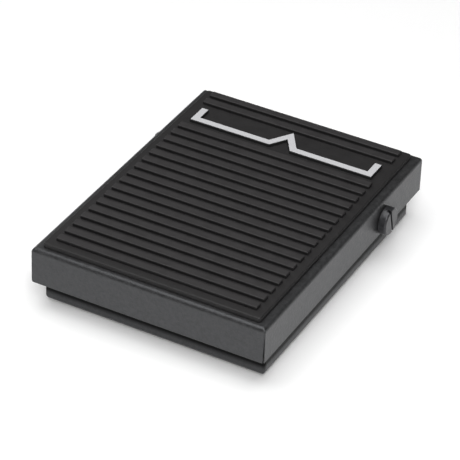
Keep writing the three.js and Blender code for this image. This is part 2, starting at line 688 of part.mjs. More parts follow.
function switchScrew(y) {
  const headHeight = SWITCH_SCREW_HEAD_HEIGHT;
  const length = headHeight + SWITCH_SCREW_LENGTH;
  const profile = [
    [0, 0], [SWITCH_SCREW_HEAD - 0.2, 0], [SWITCH_SCREW_HEAD, 0.3],
    [SWITCH_SCREW_HEAD, headHeight], [SWITCH_SCREW_RADIUS, headHeight],
    [SWITCH_SCREW_RADIUS, length], [0, length],
  ];
  const start = [SWITCH_RIGHT + headHeight, y, SWITCH_SCREW_Z];
  const slot = box(
    SWITCH_RIGHT + headHeight / 2, SWITCH_RIGHT + 2 * headHeight, y - 0.25, y + 0.25,
    SWITCH_SCREW_Z - 3, SWITCH_SCREW_Z + 3,
  );
  return turned(profile, X_AXIS.clone().negate(), start, SMALL).subtract(slot);
}

function switchNut(y) {
  const start = [SWITCH_LEFT - PLATE, y, SWITCH_SCREW_Z];
  return hexagonNut(
    SWITCH_NUT_FLATS, SWITCH_SCREW_RADIUS + FIT, SWITCH_NUT_THICKNESS,
    X_AXIS.clone().negate(), start,
  );
}

// ---------------------------------------------------------------- cable

const CABLE_INSIDE_Z = FLOOR_TOP + CABLE_RADIUS + 0.15;
const JACKET_START = 24;

function cable() {
  const points = [
    [0, JACKET_START, CABLE_INSIDE_Z],
    [0, CLAMP_Y - 3, CABLE_INSIDE_Z],
    [0, CLAMP_Y + 3, CABLE_INSIDE_Z],
    [0, TRAY_REAR - 8.9, (CABLE_INSIDE_Z + CABLE_EXIT_Z) / 2 - 0.5],
    [0, TRAY_REAR - 5.4, CABLE_EXIT_Z - 0.5],
    [0, TRAY_REAR - 2.4, CABLE_EXIT_Z],
    [0, TRAY_REAR + 1.1, CABLE_EXIT_Z],
    [0, TRAY_REAR + 5.1, CABLE_EXIT_Z],
    [0, TRAY_REAR + 8.6, CABLE_EXIT_Z - 0.1],
    [-2.4, TRAY_REAR + 12.9, CABLE_EXIT_Z - 1.9],
    [-8.5, TRAY_REAR + 16.1, CABLE_RADIUS + 1],
    [-17, TRAY_REAR + 16.7, CABLE_RADIUS + 0.05],
    [-26, TRAY_REAR + 15.3, CABLE_RADIUS + 0.05],
  ];
  return tubeAlong(smoothPath(points), CABLE_RADIUS, 44, 12);
}

function cableGrommet() {
  const bore = CABLE_RADIUS + 0.25;
  const neck = GROMMET_HOLE - FIT;
  const lip = GROMMET_FLANGE_RADIUS - 0.2; // radius of the flange inside the tray
  const inside = -SHEET - 1.1;
  const outside = 1.4;
  const profile = [
    [bore, inside], [lip - 0.2, inside], [lip, inside + 0.4], [lip, -SHEET], [neck, -SHEET],
    [neck, 0], [GROMMET_FLANGE_RADIUS, 0], [GROMMET_FLANGE_RADIUS, outside - 0.3],
    [GROMMET_FLANGE_RADIUS - 0.3, outside], [neck, outside], [bore + 0.65, GROMMET_TAIL],
    [bore, GROMMET_TAIL], [bore, inside],
  ];
  return turned(profile, Y_AXIS, [0, TRAY_REAR, CABLE_EXIT_Z]);
}

// A clip bent over the cable with one flat foot for its screw.
function cableClamp() {
  const inner = CABLE_RADIUS + 0.15;
  const outer = inner + PLATE;
  const footEnd = CLAMP_SCREW_X + 3.2;
  const shape = new THREE.Shape();
  shape.moveTo(-outer, FLOOR_TOP);
  shape.lineTo(-inner, FLOOR_TOP);
  shape.absarc(0, CABLE_INSIDE_Z, inner, Math.PI, 0, true);
  shape.lineTo(inner, FLOOR_TOP);
  shape.lineTo(footEnd, FLOOR_TOP);
  shape.lineTo(footEnd, FLOOR_TOP + PLATE);
  shape.lineTo(outer, FLOOR_TOP + PLATE);
  shape.absarc(0, CABLE_INSIDE_Z, outer, 0, Math.PI, false);
  shape.closePath();
  return alongY(shape, CLAMP_Y - CLAMP_WIDTH / 2, CLAMP_Y + CLAMP_WIDTH / 2).subtract(
    screwHoles([[CLAMP_SCREW_X, CLAMP_Y]], FLOOR_SCREW_HOLE),
  );
}

// A wire from the cable's end to the right-hand side of a switch terminal.
function leadWire(side, position, sweep) {
  const terminalY = SWITCH_Y + position * TERMINAL_SPACING;
  const end = JACKET_START - 0.05;
  const low = FLOOR_TOP + WIRE_RADIUS + 0.3;
  const points = [
    [side * 0.8, end, CABLE_INSIDE_Z],
    [side * 0.9, end - 2, CABLE_INSIDE_Z - 0.2],
    [side * 1.6 - 1, 12, low],
    [sweep, 0, low],
    [sweep - 1, terminalY + 3, low],
    [SWITCH_X + 3, terminalY, low + 0.5],
    [SWITCH_X + 0.35, terminalY, FLOOR_TOP + 1.6],
  ];
  return tubeAlong(smoothPath(points), WIRE_RADIUS, 22, 6);
}

// ---------------------------------------------------------------- materials and assembly

function finish(color, roughness, metalness) {
  return new THREE.MeshStandardMaterial({ color, roughness, metalness });
}

const POWDER_COAT = finish(0x2e2f31, 0.55, 0.2);
const TREAD_RUBBER = finish(0x1d1d1e, 0.75, 0);
const BASE_RUBBER = finish(0x1a1a1a, 0.85, 0);
const DARK_SCREW = finish(0x2a2a2c, 0.4, 0.6);
const ZINC = finish(0xb4b6b8, 0.35, 0.9);
const SPRING_STEEL = finish(0x8f9296, 0.3, 1);
const NYLON = finish(0xe6e2d6, 0.6, 0);
const SWITCH_PLASTIC = finish(0x242426, 0.5, 0);
const PLUNGER_RED = finish(0xa83228, 0.5, 0);
const FELT = finish(0x55585c, 1, 0);
const CABLE_BLACK = finish(0x202021, 0.6, 0);
const WIRE_RED = finish(0xb02a22, 0.5, 0);

const pieces = [
  ["treadle_cover", treadleCover(), POWDER_COAT],
  ["tread_mat", treadMat(), TREAD_RUBBER],
  ["spring_seat", springSeat(), NYLON],
  ["striker_button", strikerButton(), NYLON],
  ["base_tray", baseTray(), POWDER_COAT],
  ["base_mat", baseMat(), BASE_RUBBER],
  ["spring_cup", springCup(), NYLON],
  ["return_spring", returnSpring(), SPRING_STEEL],
  ["rear_stop_felt", rearStopFelt(), FELT],
  ["switch_case", switchCase(), SWITCH_PLASTIC],
  ["switch_lever", switchLever(), ZINC],
  ["switch_plunger", switchPlunger(), PLUNGER_RED],
  ["switch_terminal_common", switchTerminal(1), ZINC],
  ["switch_terminal_closed", switchTerminal(0), ZINC],
  ["switch_terminal_open", switchTerminal(-1), ZINC],
  ["switch_bracket", switchBracket(), ZINC],
  ["cable", cable(), CABLE_BLACK],
  ["cable_grommet", cableGrommet(), CABLE_BLACK],
  ["cable_clamp", cableClamp(), ZINC],
  ["clamp_screw", floorScrew(CLAMP_SCREW_X, CLAMP_Y, FLOOR_TOP + PLATE), ZINC],
  ["lead_wire_red", leadWire(-1, 1, -5), WIRE_RED],
  ["lead_wire_black", leadWire(1, -1, -2.6), CABLE_BLACK],
];

for (const [name, side] of [["left", -1], ["right", 1]]) {
  pieces.push(
    ["pivot_bush_" + name, pivotBush(side), NYLON],
    ["pivot_screw_" + name, pivotScrew(side), DARK_SCREW],
    ["pivot_washer_" + name, pivotWasher(side), ZINC],
    ["pivot_nut_" + name, pivotNut(side), ZINC],
    ["down_stop_" + name, downStop(side), BASE_RUBBER],
  );
}

["front", "rear"].forEach((name, i) => {
  const bracketScrew = floorScrew(BRACKET_SCREW_X, BRACKET_SCREW_YS[i], FLOOR_TOP + PLATE);
  pieces.push(
    ["bracket_screw_" + name, bracketScrew, ZINC],
    ["switch_screw_" + name, switchScrew(SWITCH_SCREW_YS[i]), ZINC],
    ["switch_nut_" + name, switchNut(SWITCH_SCREW_YS[i]), ZINC],
  );
});

const pedal = new THREE.Group();
for (const [name, solid, material] of pieces) {
  const mesh = new THREE.Mesh(toGeometry(solid), material);
  mesh.name = name;
  pedal.add(mesh);
}

export default pedal;
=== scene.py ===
"""The looks of a compact sustain pedal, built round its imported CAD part.

Metres, in the part's own frame: +X right, +Y to the rear, +Z up, the floor at 0.
The treadle rocks on two shoulder screws over a folded tray.
"""

import json
import math

import bmesh
import bpy
from mathutils import Matrix, Vector, noise


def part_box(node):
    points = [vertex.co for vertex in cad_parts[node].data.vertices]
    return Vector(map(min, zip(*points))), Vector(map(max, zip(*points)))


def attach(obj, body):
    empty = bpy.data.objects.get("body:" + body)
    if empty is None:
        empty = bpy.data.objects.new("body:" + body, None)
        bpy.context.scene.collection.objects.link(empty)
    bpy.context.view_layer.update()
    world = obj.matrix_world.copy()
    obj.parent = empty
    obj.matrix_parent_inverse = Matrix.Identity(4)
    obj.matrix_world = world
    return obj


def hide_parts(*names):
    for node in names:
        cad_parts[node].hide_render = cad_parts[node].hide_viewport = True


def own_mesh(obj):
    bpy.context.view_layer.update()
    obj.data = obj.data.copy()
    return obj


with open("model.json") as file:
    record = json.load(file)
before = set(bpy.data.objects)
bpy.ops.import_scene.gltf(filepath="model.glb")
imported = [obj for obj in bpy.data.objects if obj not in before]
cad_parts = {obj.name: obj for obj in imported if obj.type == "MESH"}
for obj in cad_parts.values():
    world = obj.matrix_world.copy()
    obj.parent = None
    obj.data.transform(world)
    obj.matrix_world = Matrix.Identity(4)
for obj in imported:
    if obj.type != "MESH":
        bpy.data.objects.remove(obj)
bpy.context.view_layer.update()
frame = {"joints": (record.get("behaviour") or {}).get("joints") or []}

MM = 0.001
UP = Vector((0, 0, 1))
RIGHT = Vector((1, 0, 0))
REARWARD = Vector((0, 1, 0))

# ---------------------------------------------------------------- driving dimensions

SHEET = 1.2 * MM
SHEARED_EDGE = 0.2 * MM  # rounding of the coated steel edges

COVER_BEND = 1.4 * MM  # outside radius of the cover's folds
COVER_CORNER = 0.5 * MM  # upright corners of the cover
COVER_SEAM_DROP = 2.8 * MM  # cover's top to where its corner seams open
COVER_SEAM_TOP = 0.08 * MM  # width of a seam at its upper end
COVER_SEAM_BOTTOM = 0.62 * MM
CABLE_NOTCH_RADIUS = 5.5 * MM
SIDE_GAP = 0.15 * MM  # between a shoulder screw's head and the cover

MAT_CORNER = 0.9 * MM
MAT_EDGE = 0.45 * MM  # rounding of the mat's top edge
RIB_HEIGHT = 1 * MM
RIB_WIDTH = 2.65 * MM
RIB_PITCH = 4.31 * MM
RIB_SIDE_INSET = 2.65 * MM  # mat's side to the ribs' ends
FRONT_BORDER = 2.86 * MM
REAR_BORDER = 1.3 * MM
FRONT_RIBS = 17
REAR_RIBS = 2
RIB_EDGE = 0.32 * MM
RIB_CORNER = 0.3 * MM

MARK_HALF_LENGTH = 29 * MM
MARK_HEIGHT = 6.2 * MM
MARK_NOTCH = 4 * MM  # half-width of the notch in its middle
MARK_STROKE = 2.4 * MM

TRAY_BEND = 1.5 * MM
TRAY_CORNER = 0.7 * MM
TRAY_LOW_WALL = 11.6 * MM
EAR_FRONT = 14 * MM
EAR_RAMP = 6 * MM
PAINTED_SHADE_TOP = 4.4 * MM  # from this height up, the tray's walls carry full painted shade under the cover's flange
# height over which the painted shade fades into the plain coat
PAINTED_SHADE_FADE = 1.4 * MM
TRAY_SEAM = 0.25 * MM
REAR_LIP_DEPTH = 6.9 * MM
REAR_LIP_HALF_WIDTH = 27 * MM

SOLE_CORNER = 3 * MM
SOLE_RIB_HEIGHT = 0.3 * MM
SOLE_RIB_WIDTH = 2.4 * MM
SOLE_RIB_PITCH = 3.6 * MM
SOLE_BORDER = 3 * MM

SHOULDER_RADIUS = 2.5 * MM
THREAD_RADIUS = 2 * MM
THREAD_HOLE = 2.15 * MM
THREAD_PITCH = 0.7 * MM
HEAD_ROUNDING = 0.6 * MM
SLOT_WIDTH = 0.9 * MM
SLOT_DEPTH = 1.1 * MM
SLOT_TILT = math.radians(16)
BUSH_BORE = 2.56 * MM
BUSH_BARREL = 3.35 * MM
BUSH_FLANGE = 0.5 * MM
NUT_FLATS = 7 * MM

SPRING_RADIUS = 5.2 * MM
SPRING_WIRE = 0.6 * MM
SPRING_TURNS = 6.5
SPIGOT_RADIUS = 4.1 * MM
SEAT_FLANGE = 0.8 * MM
CUP_WALL = 0.9 * MM
CUP_FLOOR = 0.8 * MM
CUP_HEIGHT = 3 * MM
CUP_PEG_RADIUS = 3.6 * MM
STRIKER_RADIUS = 2.2 * MM
STRIKER_FLANGE = 0.6 * MM
STOP_RADIUS = 3.5 * MM
STOP_FOOT = 1.2 * MM

FLOOR_SCREW_RADIUS = 1.5 * MM
FLOOR_SCREW_HOLE = 1.6 * MM
FLOOR_SCREW_HEAD = 2.75 * MM
FLOOR_SCREW_HEAD_HEIGHT = 1.8 * MM
FLOOR_SCREW_PITCH = 0.5 * MM
SWITCH_SCREW_RADIUS = 1 * MM
SWITCH_SCREW_HOLE = 1.1 * MM
SWITCH_SCREW_HEAD = 1.9 * MM
SWITCH_SCREW_HEAD_HEIGHT = 1.3 * MM
SWITCH_SCREW_PITCH = 0.4 * MM
SWITCH_NUT_FLATS = 4 * MM
SWITCH_HEIGHT = 6.5 * MM
LEVER_WIDTH = 3.6 * MM
LEVER_LENGTH = 15.2 * MM
LEVER_THICKNESS = 0.3 * MM
LEVER_RISE = math.radians(14)
LEVER_PIN_RADIUS = 0.45 * MM
LUG_GAP = 0.2 * MM
LUG_THICKNESS = 0.7 * MM
PLATE = 1 * MM  # thickness of the switch bracket and the cable clamp

GROMMET_HOLE = 3.6 * MM
CABLE_RADIUS = 2.1 * MM
CABLE_INSIDE_LIFT = 2.25 * MM  # tray floor to the cable's middle under its clamp
JACKET_WALL = 0.55 * MM
CORE_SPACING = 0.75 * MM  # cable's middle to a core's middle
CORE_RADIUS = 0.68 * MM
COPPER_RADIUS = 0.32 * MM
WIRE_RADIUS = 0.6 * MM
TERMINAL_HOLE = 0.35 * MM

CORNER_STEPS = 8
FOLD_STEPS = 10
ROUND_SIDES = 64
SMALL_SIDES = 32

# ---------------------------------------------------------------- places, from the frame

cover_low, cover_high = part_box("treadle_cover")
mat_low, mat_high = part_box("tread_mat")
tray_low, tray_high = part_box("base_tray")
sole_low, sole_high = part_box("base_mat")
grommet_low, grommet_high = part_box("cable_grommet")
switch_low, switch_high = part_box("switch_case")
joints = {joint["name"]: joint for joint in frame["joints"]}
PIVOT = Vector(joints["treadle_hinge"]["pos_m"])
LEVER_PIVOT = Vector(joints["lever_hinge"]["pos_m"])
CABLE_EXIT_Z = (grommet_low.z + grommet_high.z) / 2
TRAY_FLOOR = tray_low.z + SHEET

# ---------------------------------------------------------------- mesh helpers


def add_object(name, vertices, faces):
    mesh = bpy.data.meshes.new(name)
    mesh.from_pydata(vertices, [], faces)
    obj = bpy.data.objects.new(name, mesh)
    bpy.context.scene.collection.objects.link(obj)
    return obj


def face_outwards(obj):
    shape = bmesh.new()
    shape.from_mesh(obj.data)
    bmesh.ops.recalc_face_normals(shape, faces=shape.faces)
    shape.to_mesh(obj.data)
    shape.free()


def skin(name, rings, hollow=False):
    """A closed mesh over rings of points; hollow joins the last ring to the first."""
    size = len(rings[0])
    vertices = [point for ring in rings for point in ring]
    faces = []
    for level in range(len(rings) if hollow else len(rings) - 1):
        here = level * size
        there = (level + 1) % len(rings) * size
        for i in range(size):
            j = (i + 1) % size
            faces.append((here + i, here + j, there + j, there + i))
    if not hollow:
        faces.append(tuple(reversed(range(size))))
        faces.append(tuple(range(len(vertices) - size, len(vertices))))
    obj = add_object(name, vertices, faces)
    face_outwards(obj)
    return obj


def quarter_steps(steps):
    """Angles from 0 to a right angle."""
    return [math.pi / 2 * i / steps for i in range(steps + 1)]


def rounded_rectangle(x0, x1, y0, y1, radius, height):
    """A level ring: a rectangle whose corners are arcs."""
    centres = [
        (x1 - radius, y1 - radius),
        (x0 + radius, y1 - radius),
        (x0 + radius, y0 + radius),
        (x1 - radius, y0 + radius),
    ]
    ring = []
    for quarter, (x, y) in enumerate(centres):
        for step in quarter_steps(CORNER_STEPS):
            angle = quarter * math.pi / 2 + step
            ring.append((x + radius * math.cos(angle), y + radius * math.sin(angle), height))
    return ring


def slab(name, x0, x1, y0, y1, corner, start, end, rounding):
    """A level slab from height start, where its edge is square, to end, where it is rounded."""
    way = 1 if end > start else -1
    rings = [rounded_rectangle(x0, x1, y0, y1, corner, start)]
    for angle in quarter_steps(5):
        inset = rounding * (1 - math.cos(angle))
        height = end - way * rounding * (1 - math.sin(angle))
        radius = max(corner - inset, corner / 5)
        rings.append(
            rounded_rectangle(x0 + inset, x1 - inset, y0 + inset, y1 - inset, radius, height)
        )
    return skin(name, rings)


def prism(name, points, x0, x1):
    """A shape drawn in (y, z), standing from x0 to x1."""
    return skin(name, [[(x, y, z) for y, z in points] for x in (x0, x1)])


def groove(along, turn, thread):
    """How deep a helical thread cuts at a distance along the axis and a share of a turn."""
    if thread is None:
        return 0
    start, end, pitch, depth = thread
    if not start < along < end:
        return 0
    return depth * abs(2 * ((along / pitch - turn) % 1) - 1)


def thread_steps(radius, start, end, pitch):
    """Profile points close enough together to carry a thread."""
    count = round(8 * (end - start) / pitch)
    return [(radius, start + (end - start) * i / count) for i in range(count + 1)]


def turned(name, profile, start, axis, sides=ROUND_SIDES, hollow=False, thread=None):
    """A turned piece: profile points are (radius, distance along the axis)."""
    turn = UP.rotation_difference(axis).to_matrix()
    rings = []
    for radius, along in profile:
        ring = []
        for i in range(sides):
            angle = 2 * math.pi * i / sides
            reach = radius - groove(along, i / sides, thread)
            local = Vector((reach * math.cos(angle), reach * math.sin(angle), along))
            ring.append(Vector(start) + turn @ local)
        rings.append(ring)
    return skin(name, rings, hollow)


def rod(name, radius, length, start, axis, sides=ROUND_SIDES):
    return turned(name, [(radius, 0), (radius, length)], start, axis, sides)


def span(node, axis):
    """The middle of a node's end against the axis, and its length along the axis."""
    low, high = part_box(node)
    half = abs((high - low).dot(axis)) / 2
    return (low + high) / 2 - half * axis, 2 * half


def node_radius(node, axis):
    """Half of a round node's width, square to its axis."""
    low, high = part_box(node)
    size = high - low
    return max(part for part, along in zip(size, axis) if abs(along) < 0.5) / 2


def block(name, low, high, edge=0):
    """A box between two corners, with its edges rounded."""
    rings = [
        [(low[0], low[1], z), (high[0], low[1], z), (high[0], high[1], z), (low[0], high[1], z)]
        for z in (low[2], high[2])
    ]
    obj = skin(name, rings)
    return soften(obj, edge) if edge else obj


def smooth_path(points, steps):
    """A curve through the points, with steps stretches between each two."""
    points = [Vector(point) for point in points]
    ends = [2 * points[0] - points[1]] + points + [2 * points[-1] - points[-2]]
    path = []
    for before, a, b, after in zip(ends, ends[1:], ends[2:], ends[3:]):
        for i in range(steps):
            t = i / steps
            path.append(
                0.5
                * (
                    2 * a
                    + (b - before) * t
                    + (2 * before - 5 * a + 4 * b - after) * t**2
                    + (3 * a - before - 3 * b + after) * t**3
                )
            )
    path.append(points[-1])
    return path


def path_frames(path):
    """Each point with two directions square to the path, carried along without twist."""
    frames = []
    across = UP if abs((path[1] - path[0]).normalized().z) < 0.9 else RIGHT
    for i, point in enumerate(path):
        ahead = (path[min(i + 1, len(path) - 1)] - path[max(i - 1, 0)]).normalized()
        across = (across - across.dot(ahead) * ahead).normalized()
        frames.append((point, across, ahead.cross(across)))
    return frames


def ring_at(point, across, side, radius, sides):
    return [
        point
        + radius * math.cos(2 * math.pi * i / sides) * across
        + radius * math.sin(2 * math.pi * i / sides) * side
        for i in range(sides)
    ]


def tube(name, path, radius, sides=24):
    return skin(name, [ring_at(*step, radius, sides) for step in path_frames(path)])


def apply_modifiers(obj):
    graph = bpy.context.evaluated_depsgraph_get()
    mesh = bpy.data.meshes.new_from_object(obj.evaluated_get(graph))
    obj.modifiers.clear()
    obj.data = mesh


def carve(obj, tools, operation="DIFFERENCE"):
    """Cuts the tools out of obj, or joins them to it."""
    for tool in tools:
        step = obj.modifiers.new("carve", "BOOLEAN")
        step.operation = operation
        step.solver = "EXACT"
        step.object = tool
    apply_modifiers(obj)
    for tool in tools:
        bpy.data.objects.remove(tool)
    return obj


def soften(obj, width, segments=2, sharper_than=40):
    """Rounds the edges that turn by more than an angle in degrees."""
    bevel = obj.modifiers.new("soften", "BEVEL")
    bevel.width = width
    bevel.segments = segments
    bevel.limit_method = "ANGLE"
    bevel.angle_limit = math.radians(sharper_than)
    apply_modifiers(obj)
    return obj


def shade(obj, sharper_than=35):
    obj.data.shade_smooth()
    obj.data.set_sharp_from_angle(angle=math.radians(sharper_than))
    flat = obj.modifiers.new("flat_faces", "WEIGHTED_NORMAL")
    flat.keep_sharp = True


# ---------------------------------------------------------------- folded sheet


def sheet_profile(closed, rim, bend):
    """(inset, height) from the closed face, round the fold, over the rim and back inside."""
    way = 1 if closed > rim else -1
    inner_bend = bend - SHEET
    edge = SHEARED_EDGE
    fold = quarter_steps(FOLD_STEPS)
    sheared = quarter_steps(3)
    profile = [
        (bend * (1 - math.sin(a)), closed - way * bend * (1 - math.cos(a)))
        for a in fold
    ]
    profile += [
        (edge * (1 - math.cos(a)), rim + way * edge * (1 - math.sin(a))) for a in sheared
    ]
    profile += [
        (SHEET - edge * (1 - math.sin(a)), rim + way * edge * (1 - math.cos(a)))
        for a in sheared
    ]
    profile += [
        (
            SHEET + inner_bend * (1 - math.cos(a)),
            closed - way * (SHEET + inner_bend * (1 - math.sin(a))),
        )
        for a in fold
    ]
    return profile


def folded_box(name, low, high, closed, rim, bend, corner):
    """A closed face with four walls down to an open rim, all of one sheet."""
    rings = []
    for inset, height in sheet_profile(closed, rim, bend):
        radius = corner * (1 - 0.85 * inset / bend)
        rings.append(
            rounded_rectangle(
                low.x + inset, high.x - inset, low.y + inset, high.y - inset, radius, height
            )
        )
    return skin(name, rings)


def corner_seam(x, y, bottom, top):
    """A gap that narrows upwards, on the diagonal of a corner whose inside is towards 0."""
    outward = Vector((math.copysign(1, x), math.copysign(1, y), 0)).normalized()
    across = outward.cross(UP)
    reach = 3 * SHEET
    rings = []
    for height, width in ((bottom, COVER_SEAM_BOTTOM), (top, COVER_SEAM_TOP)):
        centre = Vector((x, y, height))
        rings.append(
            [
                centre + along * reach * outward + side * width / 2 * across
                for along, side in ((-1, -1), (1, -1), (1, 1), (-1, 1))
            ]
        )
    return skin("seam", rings)


def treadle_cover():
    top = cover_high.z
    rim = cover_low.z
    cover = folded_box("cover_shell", cover_low, cover_high, top, rim, COVER_BEND, COVER_CORNER)
    tools = [
        corner_seam(x, y, rim - MM, top - COVER_SEAM_DROP)
        for x in (cover_low.x, cover_high.x)
        for y in (cover_low.y, cover_high.y)
    ]
    beside = cover_high.x + MM
    hole_start = Vector((-beside, PIVOT.y, PIVOT.z))
    tools.append(rod("bush_holes", BUSH_BARREL, 2 * beside, hole_start, RIGHT))
    notch_start = Vector((0, cover_high.y - 2 * SHEET, CABLE_EXIT_Z))
    tools.append(rod("notch", CABLE_NOTCH_RADIUS, 4 * SHEET, notch_start, REARWARD))
    tools.append(
        slab(
            "notch_slot", -CABLE_NOTCH_RADIUS, CABLE_NOTCH_RADIUS,
            notch_start.y, cover_high.y + MM, 0.01 * MM, rim - MM, CABLE_EXIT_Z, 0,
        )
    )
    return carve(cover, tools)


def low_front_wall():
    """The space over the tray's lower front walls, up to the slope of the ears."""
    above = tray_high.z + MM
    points = [
        (tray_low.y - MM, TRAY_LOW_WALL),
        (EAR_FRONT - EAR_RAMP, TRAY_LOW_WALL),
        (EAR_FRONT, above),
        (tray_low.y - MM, above),
    ]
    return prism("low_wall", points, tray_low.x - MM, tray_high.x + MM)


def tray_seams():
    """Slits in the side walls, where the front and rear walls wrap round the corners."""
    reach = 2 * SHEET
    bottom = tray_low.z + TRAY_BEND
    seams = []
    for x in (tray_low.x, tray_high.x):
        for y in (tray_low.y + TRAY_CORNER, tray_high.y - TRAY_CORNER):
            seams.append(
                slab(
                    "seam", x - reach, x + reach, y - TRAY_SEAM / 2, y + TRAY_SEAM / 2,
                    TRAY_SEAM / 10, bottom, tray_high.z + MM, 0,
                )
            )
    return seams


def base_tray():
    tray = folded_box(
        "tray_shell", tray_low, tray_high, tray_low.z, tray_high.z, TRAY_BEND, TRAY_CORNER
    )
    lip = slab(
        "lip", -REAR_LIP_HALF_WIDTH, REAR_LIP_HALF_WIDTH,
        tray_high.y - REAR_LIP_DEPTH, tray_high.y - SHEET / 2,
        SHEARED_EDGE, tray_high.z - SHEET, tray_high.z, SHEARED_EDGE,
    )
    beside = tray_high.x + MM
    grommet_hole = rod(
        "grommet_hole", GROMMET_HOLE, 4 * SHEET,
        (0, tray_high.y - 2 * SHEET, CABLE_EXIT_Z), REARWARD,
    )
    pivot_holes = rod("ear_holes", THREAD_HOLE, 2 * beside, (-beside, PIVOT.y, PIVOT.z), RIGHT)
    floor_holes = []
    for node in ("bracket_screw_front", "bracket_screw_rear", "clamp_screw"):
        start, length = span(node, UP)
        floor_holes.append(rod("hole", FLOOR_SCREW_HOLE, 2 * length, start - MM * UP, UP, SMALL_SIDES))
    carve(tray, [low_front_wall()])
    carve(tray, [lip], "UNION")
    return carve(tray, [*tray_seams(), pivot_holes, grommet_hole, *floor_holes])


# ---------------------------------------------------------------- rubber


def rib_fronts():
    first = mat_low.y + FRONT_BORDER
    last = mat_high.y - REAR_BORDER - RIB_WIDTH
    front = [first + i * RIB_PITCH for i in range(FRONT_RIBS)]
    return front + [last - i * RIB_PITCH for i in range(REAR_RIBS)]


def tread_mat():
    """A flat rubber sheet with raised ribs and a smooth band near the rear."""
    floor = mat_high.z - RIB_HEIGHT
    mat = slab(
        "ribbed_mat", mat_low.x, mat_high.x, mat_low.y, mat_high.y, MAT_CORNER, mat_low.z, floor, MAT_EDGE
    )
    ribs = [
        slab(
            "rib", mat_low.x + RIB_SIDE_INSET, mat_high.x - RIB_SIDE_INSET,
            y, y + RIB_WIDTH, RIB_CORNER, floor - RIB_HEIGHT / 4, mat_high.z, RIB_EDGE,
        )
        for y in rib_fronts()
    ]
    return carve(mat, ribs, "UNION")


def offset_stroke(points, half_width):
    """The outline of a stroke along a polyline, with mitred turns and square ends."""
    points = [Vector(point) for point in points]
    sides = ([], [])
    for i, point in enumerate(points):
        before = (point - points[i - 1]).normalized() if i else None
        after = (points[i + 1] - point).normalized() if i + 1 < len(points) else None
        before = before or after
        after = after or before
        normal = (Vector((-before.y, before.x)) + Vector((-after.y, after.x))).normalized()
        reach = half_width / normal.dot(Vector((-after.y, after.x)))
        sides[0].append(point + reach * normal)
        sides[1].append(point - reach * normal)
    return sides[1] + sides[0][::-1]


def pedal_mark():
    """The plain pedal line of sheet music: a level line, turned up at its ends and notched."""
    band_front = rib_fronts()[FRONT_RIBS - 1] + RIB_WIDTH
    band_rear = rib_fronts()[-1]
    base_y = (band_front + band_rear) / 2 - MARK_HEIGHT / 2
    line = [
        (-MARK_HALF_LENGTH, MARK_HEIGHT),
        (-MARK_HALF_LENGTH, 0),
        (-MARK_NOTCH, 0),
        (0, MARK_HEIGHT),
        (MARK_NOTCH, 0),
        (MARK_HALF_LENGTH, 0),
        (MARK_HALF_LENGTH, MARK_HEIGHT),
    ]
    floor = mat_high.z - RIB_HEIGHT
    half = MARK_STROKE / 2
    rings = []
    for inset, height in ((0, floor), (0, mat_high.z - RIB_EDGE / 2), (RIB_EDGE / 2, mat_high.z)):
        outline = offset_stroke(line, half - inset)
        rings.append([(point.x, base_y + point.y, height) for point in outline])
    return skin("pedal_mark", rings)


def sole():
    """The rubber sheet under the tray, with shallow ribs on the floor side."""
    face = sole_low.z + SOLE_RIB_HEIGHT
    sheet = slab(
        "rubber_sole", sole_low.x, sole_high.x, sole_low.y, sole_high.y,
        SOLE_CORNER, sole_high.z, face, SOLE_RIB_HEIGHT / 2,
    )
    count = int((sole_high.y - sole_low.y - 2 * SOLE_BORDER) / SOLE_RIB_PITCH)
    middle = (sole_low.y + sole_high.y) / 2
    ribs = []
    for i in range(count):
        y = middle + (i - (count - 1) / 2) * SOLE_RIB_PITCH
        ribs.append(
            slab(
                "rib", sole_low.x + SOLE_BORDER, sole_high.x - SOLE_BORDER,
                y - SOLE_RIB_WIDTH / 2, y + SOLE_RIB_WIDTH / 2,
                SOLE_RIB_WIDTH / 2.2, face + SOLE_RIB_HEIGHT / 2, sole_low.z, SOLE_RIB_HEIGHT / 3,
            )
        )
    return carve(sheet, ribs, "UNION")


# ---------------------------------------------------------------- screws, nuts and washers


def slot_cutter(end, axis, length, width, depth, tilt=0):
    """The space of a screwdriver slot across the end of a screw."""
    cutter = block("slot", (-length, -width / 2, -depth), (length, width / 2, depth))
    turn = UP.rotation_difference(axis).to_matrix().to_4x4()
    cutter.data.transform(Matrix.Translation(end) @ turn @ Matrix.Rotation(tilt, 4, "Z"))
    return cutter


def shoulder_screw(side, name):
    """Slotted head outside the cover, plain shoulder in the bush, thread through the ear."""
    node = "pivot_screw_" + name
    axis = side * RIGHT
    start, length = span(node, axis)
    head_radius = node_radius(node, axis)
    inner = side * start.x
    shoulder = tray_high.x - inner
    head = cover_high.x + SIDE_GAP - inner
    edge = SHEARED_EDGE
    profile = [(THREAD_RADIUS - 2 * edge, 0)]
    profile += thread_steps(THREAD_RADIUS, 2 * edge, shoulder, THREAD_PITCH)
    profile += [
        (SHOULDER_RADIUS, shoulder),
        (SHOULDER_RADIUS, head),
        (head_radius - edge, head),
        (head_radius, head + edge),
    ]
    profile += [
        (head_radius - HEAD_ROUNDING * (1 - math.cos(a)), length - HEAD_ROUNDING * (1 - math.sin(a)))
        for a in quarter_steps(8)
    ]
    thread = (2 * edge, shoulder - edge, THREAD_PITCH, THREAD_PITCH / 2)
    screw = turned("shoulder_screw_" + name, profile, start, axis, thread=thread)
    end = start + length * axis
    slot = slot_cutter(end, axis, 2 * head_radius, SLOT_WIDTH, SLOT_DEPTH, side * SLOT_TILT)
    return carve(screw, [slot])


